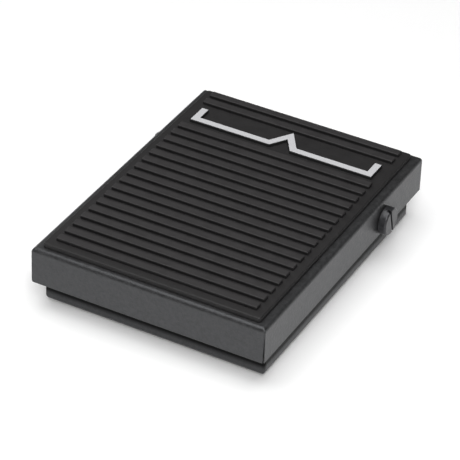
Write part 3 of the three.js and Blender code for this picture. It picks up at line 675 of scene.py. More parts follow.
def pan_screw(name, node, axis, head_radius, head_height, thread_radius, pitch):
    """A slotted pan-head screw that fills its node; the axis points out of its head."""
    start, length = span(node, axis)
    head = length - head_height
    edge = pitch / 2
    profile = [(thread_radius - edge, 0)]
    profile += thread_steps(thread_radius, edge, head, pitch)
    profile += [(head_radius, head), (head_radius, head + head_height / 3)]
    dome = head_height * 2 / 3
    profile += [
        (head_radius - dome * 0.8 * (1 - math.cos(a)), length - dome * (1 - math.sin(a)))
        for a in quarter_steps(6)
    ]
    thread = (edge, head - edge, pitch, pitch / 2)
    screw = turned(name, profile, start, axis, SMALL_SIDES, thread=thread)
    width = head_radius / 4
    slot = slot_cutter(start + length * axis, axis, 2 * head_radius, width, head_height / 2)
    return carve(screw, [slot])


def hexagon_nut(name, node, axis, flats, hole):
    """A nut with chamfered corners and a countersunk hole."""
    start, length = span(node, axis)
    corner = flats / math.sqrt(3)
    chamfer = (corner - flats / 2) * 0.6
    nut = rod(name, corner, length, start, axis, 6)
    outside = [
        (flats / 2, 0), (corner, chamfer), (corner, length - chamfer), (flats / 2, length),
    ]
    carve(nut, [turned("nut_corners", outside, start, axis)], "INTERSECT")
    sink = hole / 8
    bore = [
        (hole + 2 * sink, -sink), (hole, sink), (hole, length - sink), (hole + 2 * sink, length + sink),
    ]
    return carve(nut, [turned("nut_bore", bore, start, axis, SMALL_SIDES)])


def flat_washer(name, node, axis, hole):
    start, length = span(node, axis)
    outer = node_radius(node, axis)
    profile = [(hole, 0), (outer, 0), (outer, length), (hole, length)]
    return soften(turned(name, profile, start, axis, hollow=True), length / 6)


def nylon_bush(side, name):
    """A flanged bush whose barrel is pressed through the cover from inside."""
    node = "pivot_bush_" + name
    axis = side * RIGHT
    start, length = span(node, axis)
    flange = node_radius(node, axis)
    profile = [
        (BUSH_BORE, 0), (flange, 0), (flange, BUSH_FLANGE),
        (BUSH_BARREL, BUSH_FLANGE), (BUSH_BARREL, length), (BUSH_BORE, length),
    ]
    return soften(turned("nylon_bush_" + name, profile, start, axis, hollow=True), SHEARED_EDGE / 2)


# ---------------------------------------------------------------- spring and stops


def spring_seat():
    """The nylon disc under the cover, with a peg inside the spring's upper end."""
    start, length = span("spring_seat", -UP)
    radius = node_radius("spring_seat", UP)
    taper = CUP_FLOOR
    profile = [
        (radius, 0), (radius, SEAT_FLANGE), (SPIGOT_RADIUS, SEAT_FLANGE),
        (SPIGOT_RADIUS, length - taper), (SPIGOT_RADIUS - taper, length),
    ]
    return soften(turned("spring_seat_disc", profile, start, -UP), SHEARED_EDGE, 2, 30)


def spring_cup():
    start, length = span("spring_cup", UP)
    radius = node_radius("spring_cup", UP)
    well = radius - CUP_WALL
    taper = CUP_FLOOR
    profile = [
        (radius, 0), (radius, CUP_HEIGHT), (well, CUP_HEIGHT), (well, CUP_FLOOR),
        (CUP_PEG_RADIUS, CUP_FLOOR), (CUP_PEG_RADIUS, length - taper),
        (CUP_PEG_RADIUS - taper, length),
    ]
    return soften(turned("spring_cup_moulding", profile, start, UP), SHEARED_EDGE, 2, 30)


def coil_spring():
    """A compression spring whose end turns lie flat."""
    start, length = span("return_spring", UP)
    flat_pitch = 2.1 * SPRING_WIRE
    open_turns = SPRING_TURNS - 2
    rise = length - 2 * SPRING_WIRE
    open_pitch = (rise - 2 * flat_pitch) / open_turns
    steps_per_turn = 48
    path = []
    for i in range(round(SPRING_TURNS * steps_per_turn) + 1):
        turn = i / steps_per_turn
        opened = min(max(turn - 1, 0), open_turns)
        height = SPRING_WIRE + flat_pitch * (turn - opened) + open_pitch * opened
        angle = 2 * math.pi * turn
        around = Vector((math.cos(angle), math.sin(angle), 0))
        path.append(start + SPRING_RADIUS * around + height * UP)
    return tube("coil_spring", path, SPRING_WIRE, 16)


def striker():
    start, length = span("striker_button", -UP)
    flange = node_radius("striker_button", UP)
    crown = STRIKER_RADIUS / 3
    profile = [(flange, 0), (flange, STRIKER_FLANGE), (STRIKER_RADIUS, STRIKER_FLANGE)]
    profile += [
        (STRIKER_RADIUS * math.cos(a), length - crown * (1 - math.sin(a)))
        for a in quarter_steps(8)[:-1]
    ]
    return soften(turned("striker_dome", profile, start, -UP), SHEARED_EDGE, 2)


def rubber_stop(name):
    """A down stop: a moulded buffer with a wider foot and a rounded crown."""
    node = "down_stop_" + name
    start, length = span(node, UP)
    foot = node_radius(node, UP)
    crown = STOP_RADIUS / 4
    profile = [(foot, 0), (foot, STOP_FOOT), (STOP_RADIUS, STOP_FOOT * 1.4)]
    profile += [
        (STOP_RADIUS - crown * (1 - math.cos(a)), length - crown * (1 - math.sin(a)))
        for a in quarter_steps(6)
    ]
    return soften(turned("rubber_stop_" + name, profile, start, UP), SHEARED_EDGE, 2)


def felt_strip():
    """A cut strip of felt, its faces a little uneven."""
    low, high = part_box("rear_stop_felt")
    strip = block("felt_strip", low, high, SHEARED_EDGE * 2)
    cells = strip.modifiers.new("cells", "REMESH")
    cells.mode = "VOXEL"
    cells.voxel_size = 0.35 * MM
    apply_modifiers(strip)
    middle = (low + high) / 2
    for vertex in strip.data.vertices:
        lift = noise.noise(vertex.co / (0.9 * MM)) * 0.06 * MM
        vertex.co += lift * vertex.normal
        vertex.co = middle + (vertex.co - middle) * 0.99
    return strip


# ---------------------------------------------------------------- switch


def switch_case():
    """A small snap-switch body with two lugs for its lever, and its mounting holes."""
    low, high = switch_low, switch_high
    top = low.z + SWITCH_HEIGHT
    middle = (low.x + high.x) / 2
    case = block("microswitch_case", low, (high.x, high.y, top), 0.25 * MM)
    for side in (-1, 1):
        inner = middle + side * (LEVER_WIDTH / 2 + LUG_GAP)
        outer = inner + side * LUG_THICKNESS
        lug_low = (min(inner, outer), LEVER_PIVOT.y - MM, top - MM / 2)
        lug_high = (max(inner, outer), LEVER_PIVOT.y + MM, high.z)
        carve(case, [block("lug", lug_low, lug_high, 0.15 * MM)], "UNION")
    beside = Vector((low.x - MM, 0, 0))
    width = high.x - low.x + 2 * MM
    tools = []
    for name in ("front", "rear"):
        start, length = span("switch_screw_" + name, RIGHT)
        tools.append(rod("screw_hole", SWITCH_SCREW_HOLE, width,
                         beside + Vector((0, start.y, start.z)), RIGHT, SMALL_SIDES))
    tools.append(rod("pin_hole", LEVER_PIN_RADIUS * 1.2, width,
                     beside + Vector((0, LEVER_PIVOT.y, LEVER_PIVOT.z)), RIGHT, SMALL_SIDES))
    start, length = span("switch_plunger", UP)
    tools.append(rod("plunger_hole", MM, length, start, UP, SMALL_SIDES))
    parting = 0.15 * MM
    tools.append(
        block(
            "parting_line", (middle + MM, low.y - parting, low.z + MM),
            (middle + MM + parting, low.y + parting, top - MM),
        )
    )
    return carve(case, tools)


def contact_lever():
    """A spring blade with a curled tip, turning on a pin."""
    half = LEVER_THICKNESS / 2
    length = LEVER_LENGTH - MM / 2
    tip = 0.8 * MM
    outline = [(MM / 2, -half), (MM / 2, half), (-length + 2 * tip, half)]
    outline += [(-length + tip, half - 0.1 * MM), (-length, half + 0.2 * MM)]
    outline += [(-length, -half + 0.2 * MM), (-length + tip, -half - 0.1 * MM)]
    outline += [(-length + 2 * tip, -half)]
    blade = prism("contact_lever", outline, -LEVER_WIDTH / 2, LEVER_WIDTH / 2)
    place = Matrix.Translation(LEVER_PIVOT) @ Matrix.Rotation(-LEVER_RISE, 4, "X")
    blade.data.transform(place)
    half_pin = LEVER_WIDTH / 2 + LUG_GAP + LUG_THICKNESS - 0.1 * MM
    pin = rod("pin", LEVER_PIN_RADIUS, 2 * half_pin, LEVER_PIVOT - half_pin * RIGHT, RIGHT, SMALL_SIDES)
    return soften(carve(blade, [pin], "UNION"), 0.05 * MM, 1)


def plunger():
    start, length = span("switch_plunger", UP)
    radius = node_radius("switch_plunger", UP)
    profile = [(radius, 0)]
    profile += [
        (radius * math.cos(a * 0.8), length - radius / 2 * (1 - math.sin(a)))
        for a in quarter_steps(8)
    ]
    return turned("plunger_button", profile, start, UP, SMALL_SIDES)


def solder_tag(name):
    """A flat terminal with a hole near its end."""
    low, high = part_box("switch_terminal_" + name)
    tag = block("solder_tag_" + name, low, high, 0.08 * MM)
    across = high.x - low.x + 2 * MM
    start = (low.x - MM, (low.y + high.y) / 2, low.z + 0.7 * MM)
    return carve(tag, [rod("tag_hole", TERMINAL_HOLE, across, start, RIGHT, SMALL_SIDES)])


def bent_angle(name, low, high, bend):
    """A plate bent to an L: an upright on the right and a foot to the left."""
    inner = bend - PLATE
    right = high.x
    upright_left = right - PLATE
    foot_top = low.z + PLATE
    outline = [(upright_left, high.z), (right, high.z)]
    outline += [
        (right - bend * (1 - math.cos(a)), low.z + bend * (1 - math.sin(a)))
        for a in quarter_steps(8)
    ]
    outline += [(low.x, low.z), (low.x, foot_top)]
    outline += [
        (upright_left - inner * (1 - math.sin(a)), foot_top + inner * (1 - math.cos(a)))
        for a in quarter_steps(8)
    ]
    return skin(name, [[(x, y, z) for x, z in outline] for y in (low.y, high.y)])


def switch_angle():
    low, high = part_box("switch_bracket")
    angle = bent_angle("switch_angle", low, high, 1.5 * PLATE)
    tools = []
    for name in ("front", "rear"):
        start, length = span("bracket_screw_" + name, UP)
        tools.append(rod("foot_hole", FLOOR_SCREW_HOLE, 2 * length, start - MM * UP, UP, SMALL_SIDES))
        start, length = span("switch_screw_" + name, RIGHT)
        tools.append(rod("side_hole", SWITCH_SCREW_HOLE, 2 * length, start, RIGHT, SMALL_SIDES))
    return soften(carve(angle, tools), 0.1 * MM, 1)


# ---------------------------------------------------------------- cable and wires


def cable_path():
    """Under the clamp, up through the grommet, then down to the floor and off to the left."""
    rear = tray_high.y
    inside = TRAY_FLOOR + CABLE_INSIDE_LIFT
    clamp, length = span("cable_clamp", REARWARD)
    start, length = span("cable", REARWARD)
    exit_z = CABLE_EXIT_Z
    points = [
        (0, start.y, inside),
        (0, clamp.y - MM / 2, inside),
        (0, clamp.y + 5.5 * MM, inside),
        (0, rear - 8.9 * MM, (inside + exit_z - MM) / 2),
        (0, rear - 5.4 * MM, exit_z - MM / 2),
        (0, rear - 2.4 * MM, exit_z),
        (0, rear + 1.1 * MM, exit_z),
        (0, rear + 5.1 * MM, exit_z),
        (0, rear + 8.6 * MM, exit_z - 0.1 * MM),
        (-2.4 * MM, rear + 12.9 * MM, exit_z - 1.9 * MM),
        (-8.5 * MM, rear + 16.1 * MM, CABLE_RADIUS + MM),
        (-17 * MM, rear + 16.7 * MM, CABLE_RADIUS + 0.05 * MM),
        (-26 * MM, rear + 15.3 * MM, CABLE_RADIUS + 0.05 * MM),
    ]
    return smooth_path(points, 8)


def cable_jacket():
    """The jacket, open for a short way at its cut end."""
    frames = path_frames(cable_path())
    rings = [ring_at(*step, CABLE_RADIUS, 40) for step in frames]
    point, across, side = frames[-1]
    ahead = across.cross(side)
    bore = CABLE_RADIUS - JACKET_WALL
    edge = 0.08 * MM
    rings[-1] = ring_at(point - edge * ahead, across, side, CABLE_RADIUS, 40)
    rings.append(ring_at(point, across, side, CABLE_RADIUS - edge, 40))
    rings.append(ring_at(point, across, side, bore, 40))
    rings.append(ring_at(point - 1.5 * MM * ahead, across, side, bore, 40))
    return skin("cable_jacket", rings)


def cut_core(name, way, radius, start, end):
    """A short length of core or conductor standing out of the cable's cut end."""
    point, across, side = path_frames(cable_path())[-1]
    ahead = across.cross(side)
    middle = point + way * CORE_SPACING * across.cross(ahead).normalized()
    edge = radius / 6
    profile = [(radius, 0), (radius, end - start - edge), (radius - edge, end - start)]
    return turned(name, profile, middle + start * ahead, ahead, 20)


def strain_relief():
    """A grommet with a ribbed tail that tapers along the cable."""
    low, high = grommet_low, grommet_high
    rear = tray_high.y - low.y
    length = high.y - low.y
    flange = (high.x - low.x) / 2
    bore = CABLE_RADIUS + 0.25 * MM
    lip = flange - 0.2 * MM
    neck = GROMMET_HOLE - 0.05 * MM
    tail = bore + 0.65 * MM
    flange_end = rear + 1.4 * MM
    profile = [
        (bore, 0), (lip - 0.2 * MM, 0), (lip, 0.4 * MM), (lip, rear - SHEET), (neck, rear - SHEET),
        (neck, rear), (flange, rear), (flange, flange_end - 0.3 * MM),
        (flange - 0.3 * MM, flange_end), (neck, flange_end),
    ]
    ribs = 4
    pitch = (length - flange_end) / ribs
    for i in range(ribs):
        start = flange_end + i * pitch
        outer = neck + (tail - neck) * i / ribs
        root = (outer + bore) / 2
        profile += [(root, start + 0.1 * pitch), (root, start + 0.4 * pitch)]
        profile += [(outer, start + 0.5 * pitch), (outer, start + 0.95 * pitch)]
    profile += [(bore, length)]
    start = (0, low.y, CABLE_EXIT_Z)
    return soften(turned("strain_relief", profile, start, REARWARD, hollow=True), 0.06 * MM, 2, 30)


def cable_clip():
    """A strip bent over the cable, with one flat foot for its screw."""
    low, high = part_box("cable_clamp")
    centre = TRAY_FLOOR + CABLE_INSIDE_LIFT
    inner = CABLE_RADIUS + 0.15 * MM
    outer = inner + PLATE
    arc = [math.pi * i / 24 for i in range(25)]
    outline = [(-outer, low.z), (-inner, low.z)]
    outline += [(-inner * math.cos(a), centre + inner * math.sin(a)) for a in arc]
    outline += [(inner, low.z), (high.x, low.z), (high.x, low.z + PLATE), (outer, low.z + PLATE)]
    outline += [(outer * math.cos(a), centre + outer * math.sin(a)) for a in arc]
    clip = skin("cable_clip", [[(x, y, z) for x, z in outline] for y in (low.y, high.y)])
    start, length = span("clamp_screw", UP)
    hole = rod("clip_hole", FLOOR_SCREW_HOLE, 2 * length, start - MM * UP, UP, SMALL_SIDES)
    return soften(carve(clip, [hole]), 0.1 * MM, 1)


def lead_wire(name, side, terminal, sweep):
    """A wire from the cable's inner end to the right-hand side of a terminal."""
    low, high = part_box("switch_terminal_" + terminal)
    beside = high.x + 0.1 * MM
    y = (low.y + high.y) / 2
    start, length = span("cable", REARWARD)
    inside = TRAY_FLOOR + CABLE_INSIDE_LIFT
    level = TRAY_FLOOR + WIRE_RADIUS + 0.3 * MM
    points = [
        (side * 0.8 * MM, start.y - 0.05 * MM, inside),
        (side * 0.9 * MM, start.y - 2 * MM, inside - 0.2 * MM),
        (side * 1.6 * MM - MM, start.y / 2, level),
        (sweep, 0, level),
        (sweep - MM, y + 3 * MM, level),
        (beside + 2.6 * MM, y, level + MM / 2),
        (beside, y, TRAY_FLOOR + 1.6 * MM),
    ]
    return tube(name, smooth_path(points, 10), WIRE_RADIUS, 16)


# ---------------------------------------------------------------- materials


def start_material(name, color, roughness, metallic=0.0):
    material = bpy.data.materials.new(name)
    material.use_nodes = True
    surface = material.node_tree.nodes["Principled BSDF"]
    surface.inputs["Base Color"].default_value = (*color, 1)
    surface.inputs["Roughness"].default_value = roughness
    surface.inputs["Metallic"].default_value = metallic
    return material


def surface_of(material):
    return material.node_tree.nodes["Principled BSDF"]


def add_node(material, kind, inputs, **settings):
    """A node; an input is given a value, or the output of another node to link."""
    node = material.node_tree.nodes.new("ShaderNode" + kind)
    for key, value in settings.items():
        setattr(node, key, value)
    for key, value in inputs.items():
        if isinstance(value, bpy.types.NodeSocket):
            material.node_tree.links.new(value, node.inputs[key])
        else:
            node.inputs[key].default_value = value
    return node


def set_input(material, key, output):
    material.node_tree.links.new(output, surface_of(material).inputs[key])


def own_place(material, stretch=(1, 1, 1)):
    """The point in the object's own frame, in metres, squeezed by a factor along each axis."""
    place = add_node(material, "TexCoord", {})
    scaled = add_node(material, "Mapping", {"Vector": place.outputs["Object"], "Scale": stretch})
    return scaled.outputs["Vector"]


def mottle(material, size, detail=2.0, stretch=(1, 1, 1)):
    """Smooth noise from about 0 to 1, with blotches of about the given size in metres."""
    node = add_node(
        material, "TexNoise",
        {"Vector": own_place(material, stretch), "Scale": 1 / size, "Detail": detail},
    )
    return node.outputs[0]


def remap(material, value, low, high, start=0.3, end=0.7):
    node = add_node(
        material, "MapRange",
        {"Value": value, "From Min": start, "From Max": end, "To Min": low, "To Max": high},
    )
    return node.outputs[0]


def mix_colors(material, factor, first, second):
    node = add_node(material, "Mix", {0: factor}, data_type="RGBA")
    for index, color in ((6, first), (7, second)):
        if isinstance(color, bpy.types.NodeSocket):
            material.node_tree.links.new(color, node.inputs[index])
        else:
            node.inputs[index].default_value = (*color, 1)
    return node.outputs[2]


def relief(material, height, depth, below=None):
    """Bump of a depth in metres, over another bump if there is one."""
    inputs = {"Height": height, "Distance": depth, "Strength": 1.0}
    if below is not None:
        inputs["Normal"] = below
    return add_node(material, "Bump", inputs).outputs["Normal"]


def shaded(color, factor):
    return tuple(channel * factor for channel in color)


def upward(material, start, end):
    """1 where the surface faces up, 0 where it is steeper than start."""
    facing = add_node(material, "NewGeometry", {}).outputs["Normal"]
    height = add_node(material, "SeparateXYZ", {"Vector": facing}).outputs["Z"]
    return remap(material, height, 0, 1, start, end)


def powder_coat(name="powder_coat"):
    """Textured satin coat: a fine orange-peel skin, with blotches too faint to see singly."""
    color = (0.0242, 0.0242, 0.0248)
    material = start_material(name, color, 0.4)
    blotch = mottle(material, 1.1 * MM, 3)
    fleck = mottle(material, 0.35 * MM, 2)
    broad = mix_colors(material, remap(material, blotch, 0, 1), shaded(color, 0.6), shaded(color, 1.34))
    flecked = mix_colors(material, remap(material, fleck, 0, 0.4), broad, shaded(color, 1.8))
    set_input(material, "Base Color", flecked)
    set_input(material, "Roughness", remap(material, blotch, 0.34, 0.44))
    surface_of(material).inputs["Specular Tint"].default_value = (0.94, 0.96, 1, 1)
    surface_of(material).inputs["Specular IOR Level"].default_value = 0.55
    peel = relief(material, mottle(material, 0.7 * MM, 1.5), 0.07 * MM)
    set_input(material, "Normal", relief(material, fleck, 0.015 * MM, peel))
    return material


def tray_coat():
    """The same coat on the tray, with painted shade: near-black and barely reflecting high on the walls,
    where the cover's flange shades them, fading to the plain coat lower down.
    """
    material = powder_coat("tray_coat")
    surface = surface_of(material)
    height = add_node(material, "SeparateXYZ", {"Vector": own_place(material)}).outputs["Z"]
    # painted shade mask: 0 low on the walls, 1 high up under the cover's flange
    painted_shade = remap(material, height, 0, 1, PAINTED_SHADE_TOP - PAINTED_SHADE_FADE, PAINTED_SHADE_TOP)
    plain_coat = surface.inputs["Base Color"].links[0].from_socket
    # painted shade: near-black colour and weak reflection where the mask is 1
    set_input(material, "Base Color", mix_colors(material, painted_shade, plain_coat, (0.006, 0.006, 0.006)))
    set_input(material, "Specular IOR Level", remap(material, painted_shade, 0.5, 0.06, 0, 1))
    return material


def tread_rubber():
    """Moulded rubber with a random dusty tone: grey on the ribs' tops, with painted shade darkening it
    lower down and darkest on steep walls.
    """
    # the top colour is the lit one; the two darker copies below it are painted shade
    top = (0.0193, 0.0178, 0.0184)
    low = (0.0104, 0.0095, 0.0098)
    wall = (0.0086, 0.0078, 0.0081)
    material = start_material("tread_rubber", top, 0.55)
    dust = mottle(material, 3 * MM, 4)
    grain = mottle(material, 0.3 * MM, 3)
    dusty = mix_colors(material, remap(material, dust, 0, 1), shaded(top, 0.88), shaded(top, 1.12))
    grainy = mix_colors(material, remap(material, grain, 0, 0.4), dusty, shaded(top, 1.6))
    # painted shade in the grooves: darker towards the groove floors and the mat's flat border
    height = add_node(material, "SeparateXYZ", {"Vector": own_place(material)}).outputs["Z"]
    clear_of_groove_shade = remap(material, height, 0, 1, mat_high.z - 0.7 * RIB_HEIGHT, mat_high.z - 0.1 * RIB_HEIGHT)
    level = mix_colors(material, clear_of_groove_shade, low, grainy)
    # painted shade on steep walls: only upward faces keep the lit top colour
    set_input(material, "Base Color", mix_colors(material, upward(material, 0.7, 0.98), wall, level))
    set_input(material, "Roughness", remap(material, dust, 0.52, 0.64))
    skin_relief = relief(material, mottle(material, 0.9 * MM, 2), 0.03 * MM)
    set_input(material, "Normal", relief(material, grain, 0.02 * MM, skin_relief))
    return material


def printed_silver():
    """Silver ink on the raised mark's top; its sides stay black rubber."""
    ink = (0.56, 0.56, 0.575)
    material = start_material("silver_print", ink, 0.55)
    speckle = mottle(material, 0.35 * MM, 3)
    cover = upward(material, 0.75, 0.9)
    inked = mix_colors(material, remap(material, speckle, 0, 1), shaded(ink, 0.9), shaded(ink, 1.05))
    set_input(material, "Base Color", mix_colors(material, cover, (0.012, 0.012, 0.012), inked))
    set_input(material, "Roughness", remap(material, speckle, 0.45, 0.6))
    set_input(material, "Normal", relief(material, speckle, 0.012 * MM))
    return material


def moulded(name, color, roughness, grain=0.25 * MM, depth=0.008 * MM, spread=0.1):
    """Plastic or rubber with a little unevenness of colour and gloss and a moulded grain."""
    material = start_material(name, color, roughness)
    cloud = mottle(material, 2.5 * MM, 3)
    low, high = shaded(color, 1 - spread), shaded(color, 1 + spread)
    set_input(material, "Base Color", mix_colors(material, remap(material, cloud, 0, 1), low, high))
    set_input(material, "Roughness", remap(material, cloud, roughness - 0.05, roughness + 0.07))
    set_input(material, "Normal", relief(material, mottle(material, grain, 2), depth))
    return material


def metal(name, color, roughness, stretch, spread=0.12, streak=0.12 * MM):
    """Metal with fine marks drawn out along one axis; a small stretch means long marks."""
    material = start_material(name, color, roughness, 1.0)
    tone = mottle(material, 1.2 * MM, 3)
    marks = mottle(material, streak, 3, stretch)
    low, high = shaded(color, 1 - spread), shaded(color, min(1 + spread, 1 / max(color)))
    set_input(material, "Base Color", mix_colors(material, remap(material, tone, 0, 1), low, high))
    set_input(material, "Roughness", remap(material, marks, roughness - 0.07, roughness + 0.1))
    set_input(material, "Normal", relief(material, marks, 0.004 * MM))
    return material


def black_screw():
    """Dark oxide: nearly black steel with faint turning marks and a satin sheen."""
    color = (0.042, 0.042, 0.045)
    material = start_material("black_screw", color, 0.34, 0.5)
    tone = mottle(material, 0.9 * MM, 3)
    low, high = shaded(color, 0.8), shaded(color, 1.25)
    set_input(material, "Base Color", mix_colors(material, remap(material, tone, 0, 1), low, high))
    set_input(material, "Roughness", remap(material, tone, 0.28, 0.42))
    set_input(material, "Normal", relief(material, mottle(material, 0.2 * MM, 2), 0.01 * MM))
    return material


def wool_felt():
    """Grey felt: short fibres lying every way, lighter where they stand up."""
    color = (0.1, 0.104, 0.11)
    material = start_material("wool_felt", color, 0.95)
    fibres = mottle(material, 0.3 * MM, 6, (1, 0.25, 1))
    crossing = mottle(material, 0.25 * MM, 6, (0.3, 1, 1))
    first = mix_colors(material, remap(material, fibres, 0, 1), shaded(color, 0.6), shaded(color, 1.3))
    tangled = mix_colors(material, remap(material, crossing, 0, 0.5), first, shaded(color, 1.7))
    set_input(material, "Base Color", tangled)
    surface_of(material).inputs["Sheen Weight"].default_value = 0.4
    under = relief(material, fibres, 0.08 * MM)
    set_input(material, "Normal", relief(material, crossing, 0.06 * MM, under))
    return material


PAINT = powder_coat()
TRAY_COAT = tray_coat()
RUBBER = tread_rubber()
SILVER = printed_silver()
FOOT_RUBBER = moulded("foot_rubber", (0.022, 0.022, 0.0225), 0.7, 0.3 * MM, 0.02 * MM, 0.15)
DARK_STEEL = black_screw()
NYLON = moulded("nylon", (0.72, 0.69, 0.62), 0.42)
ZINC = metal("zinc_plate", (0.6, 0.61, 0.63), 0.32, (1, 1, 0.2))
SPRING_STEEL = metal("spring_steel", (0.4, 0.41, 0.43), 0.28, (1, 1, 1))
FELT = wool_felt()
CASE_PLASTIC = moulded("switch_plastic", (0.02, 0.02, 0.021), 0.45)
PLUNGER_PLASTIC = moulded("plunger_plastic", (0.45, 0.035, 0.025), 0.35)
TINNED = metal("tinned_brass", (0.72, 0.7, 0.64), 0.3, (1, 1, 0.3))
COPPER = metal("copper_strands", (0.82, 0.42, 0.28), 0.28, (0.2, 1, 1), 0.15, 0.08 * MM)
PVC = moulded("cable_pvc", (0.018, 0.018, 0.0185), 0.42, 0.4 * MM, 0.012 * MM)
RED_PVC = moulded("red_insulation", (0.42, 0.025, 0.02), 0.35)
BLACK_PVC = moulded("black_insulation", (0.02, 0.02, 0.02), 0.35)

# ---------------------------------------------------------------- pieces on their bodies


def place(obj, material, body, *nodes, slot=None):
    """Gives a piece its material and its body, and hides the CAD nodes it stands for."""
    obj.data.materials.clear()
    obj.data.materials.append(material)
    shade(obj)
    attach(obj, body)
    if nodes:
        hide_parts(*nodes)


place(treadle_cover(), PAINT, "treadle", "treadle_cover")
place(tread_mat(), RUBBER, "treadle", "tread_mat")
place(pedal_mark(), SILVER, "treadle", slot="tread_rubber")
place(spring_seat(), NYLON, "treadle", "spring_seat")
place(striker(), NYLON, "treadle", "striker_button")
place(base_tray(), TRAY_COAT, "base", "base_tray")
place(sole(), FOOT_RUBBER, "base", "base_mat")
place(spring_cup(), NYLON, "base", "spring_cup")
place(felt_strip(), FELT, "base", "rear_stop_felt")

for side, name in ((-1, "left"), (1, "right")):
    place(shoulder_screw(side, name), DARK_STEEL, "base", "pivot_screw_" + name)
    place(nylon_bush(side, name), NYLON, "treadle", "pivot_bush_" + name)
    washer = flat_washer("steel_washer_" + name, "pivot_washer_" + name, -side * RIGHT, THREAD_HOLE)
    place(washer, ZINC, "base", "pivot_washer_" + name)
    nut = hexagon_nut(
        "hexagon_nut_" + name, "pivot_nut_" + name, -side * RIGHT, NUT_FLATS, THREAD_RADIUS
    )
    place(nut, ZINC, "base", "pivot_nut_" + name)
    place(rubber_stop(name), FOOT_RUBBER, "base", "down_stop_" + name)

place(switch_case(), CASE_PLASTIC, "base", "switch_case")
place(contact_lever(), ZINC, "lever", "switch_lever")
place(plunger(), PLUNGER_PLASTIC, "plunger", "switch_plunger")
place(switch_angle(), ZINC, "base", "switch_bracket")
for name in ("common", "closed", "open"):
    place(solder_tag(name), TINNED, "base", "switch_terminal_" + name)

for name in ("front", "rear"):
    angle_screw = pan_screw(
        "angle_screw_" + name, "bracket_screw_" + name, UP, FLOOR_SCREW_HEAD,
        FLOOR_SCREW_HEAD_HEIGHT, FLOOR_SCREW_RADIUS, FLOOR_SCREW_PITCH,
    )
    place(angle_screw, ZINC, "base", "bracket_screw_" + name)
    case_screw = pan_screw(
        "case_screw_" + name, "switch_screw_" + name, RIGHT, SWITCH_SCREW_HEAD,
        SWITCH_SCREW_HEAD_HEIGHT, SWITCH_SCREW_RADIUS, SWITCH_SCREW_PITCH,
    )
    place(case_screw, ZINC, "base", "switch_screw_" + name)
    case_nut = hexagon_nut(
        "case_nut_" + name, "switch_nut_" + name, -RIGHT, SWITCH_NUT_FLATS, SWITCH_SCREW_RADIUS
    )
    place(case_nut, ZINC, "base", "switch_nut_" + name)

clip_screw = pan_screw(
    "clip_screw", "clamp_screw", UP, FLOOR_SCREW_HEAD,
    FLOOR_SCREW_HEAD_HEIGHT, FLOOR_SCREW_RADIUS, FLOOR_SCREW_PITCH,
)
place(clip_screw, ZINC, "base", "clamp_screw")
place(cable_clip(), ZINC, "base", "cable_clamp")
place(cable_jacket(), PVC, "base", "cable")
place(strain_relief(), PVC, "base", "cable_grommet")
place(lead_wire("red_lead", -1, "common", -5 * MM), RED_PVC, "base", "lead_wire_red")
place(lead_wire("black_lead", 1, "open", -2.6 * MM), BLACK_PVC, "base", "lead_wire_black")
for way, name, material in ((-1, "red", RED_PVC), (1, "black", BLACK_PVC)):
    core = cut_core(name + "_core", way, CORE_RADIUS, -1.4 * MM, 2.2 * MM)
    place(core, material, "base", slot=name + "_insulation")
    strands = cut_core(name + "_core_copper", way, COPPER_RADIUS, 2 * MM, 4 * MM)
    place(strands, COPPER, "base", slot="tinned_brass")

spring = coil_spring()
place(spring, SPRING_STEEL, "base", "return_spring")
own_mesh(spring)

# ---------------------------------------------------------------- stage, light and camera

FLOOR_HALF = 3
LOOK_AT = Vector((-0.00054, 0.00012, 0.00991))
CAMERA_AZIMUTH = math.radians(27.16)
CAMERA_ELEVATION = math.radians(34.65)
CAMERA_ROLL = math.radians(2.39)
CAMERA_DISTANCE = 0.77408
LENS = 208.78
ROOM_LIGHT = 0.02
BACKDROP = 0.95
FLOOR_GLOW = 0.12


def studio_floor():
    """White paper, lit from below as well, so that the shadows on it stay pale."""
    corners = [(x * FLOOR_HALF, y * FLOOR_HALF, 0) for x, y in ((-1, -1), (1, -1), (1, 1), (-1, 1))]
    floor = add_object("studio_floor", corners, [(0, 1, 2, 3)])
    floor.location.z = -0.02 * MM
    paper = start_material("studio_paper", (0.9, 0.9, 0.9), 0.9)
    tint = mottle(paper, 0.2, 2)
    set_input(paper, "Base Color", mix_colors(paper, tint, (0.895, 0.895, 0.9), (0.905, 0.905, 0.9)))
    surface_of(paper).inputs["Emission Color"].default_value = (1, 1, 1, 1)
    surface_of(paper).inputs["Emission Strength"].default_value = FLOOR_GLOW
    floor.data.materials.append(paper)


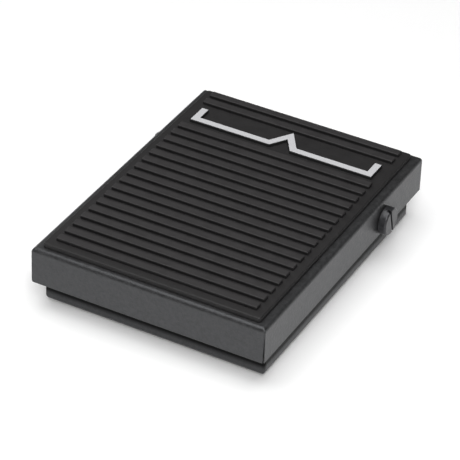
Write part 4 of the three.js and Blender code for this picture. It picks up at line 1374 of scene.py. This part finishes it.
def studio_sky():
    """A dim room that the camera sees as a pale backdrop."""
    world = bpy.data.worlds.new("studio_sky")
    bpy.context.scene.world = world
    world.use_nodes = True
    sky = world.node_tree.nodes["Background"]
    sky.inputs["Color"].default_value = (1, 1, 1, 1)
    seen = add_node(world, "LightPath", {}).outputs["Is Camera Ray"]
    strength = remap(world, seen, ROOM_LIGHT, BACKDROP, 0, 1)
    world.node_tree.links.new(strength, sky.inputs["Strength"])


def softbox(name, where, width, height, power):
    """A rectangular area light that faces the pedal."""
    data = bpy.data.lights.new(name, "AREA")
    data.shape = "RECTANGLE"
    data.size = width
    data.size_y = height
    data.energy = power
    light = bpy.data.objects.new(name, data)
    light.location = where
    light.rotation_euler = (LOOK_AT - Vector(where)).to_track_quat("-Z", "Y").to_euler()
    bpy.context.scene.collection.objects.link(light)


def camera():
    back = Vector(
        (
            math.sin(CAMERA_AZIMUTH) * math.cos(CAMERA_ELEVATION),
            -math.cos(CAMERA_AZIMUTH) * math.cos(CAMERA_ELEVATION),
            math.sin(CAMERA_ELEVATION),
        )
    )
    level = Vector((math.cos(CAMERA_AZIMUTH), math.sin(CAMERA_AZIMUTH), 0))
    upright = back.cross(level)
    x = math.cos(CAMERA_ROLL) * level + math.sin(CAMERA_ROLL) * upright
    y = math.cos(CAMERA_ROLL) * upright - math.sin(CAMERA_ROLL) * level
    where = LOOK_AT + CAMERA_DISTANCE * back
    data = bpy.data.cameras.new("camera")
    data.sensor_width = 36
    data.lens = LENS
    data.clip_start = 0.05
    data.clip_end = 20
    eye = bpy.data.objects.new("camera", data)
    turn = Matrix((x, y, back)).transposed().to_4x4()
    eye.matrix_world = Matrix.Translation(where) @ turn
    bpy.context.scene.collection.objects.link(eye)
    bpy.context.scene.camera = eye


studio_floor()
studio_sky()
softbox("overhead_softbox", (0, -0.1, 0.8), 0.8, 0.8, 6.4)
softbox("key_softbox", (0.373, -0.621, 0.69), 0.4, 0.4, 4.6)
softbox("rear_left_softbox", (-0.5, 0.3, 0.35), 0.3, 0.3, 0.4)
camera()
bpy.context.scene.view_settings.view_transform = "Standard"
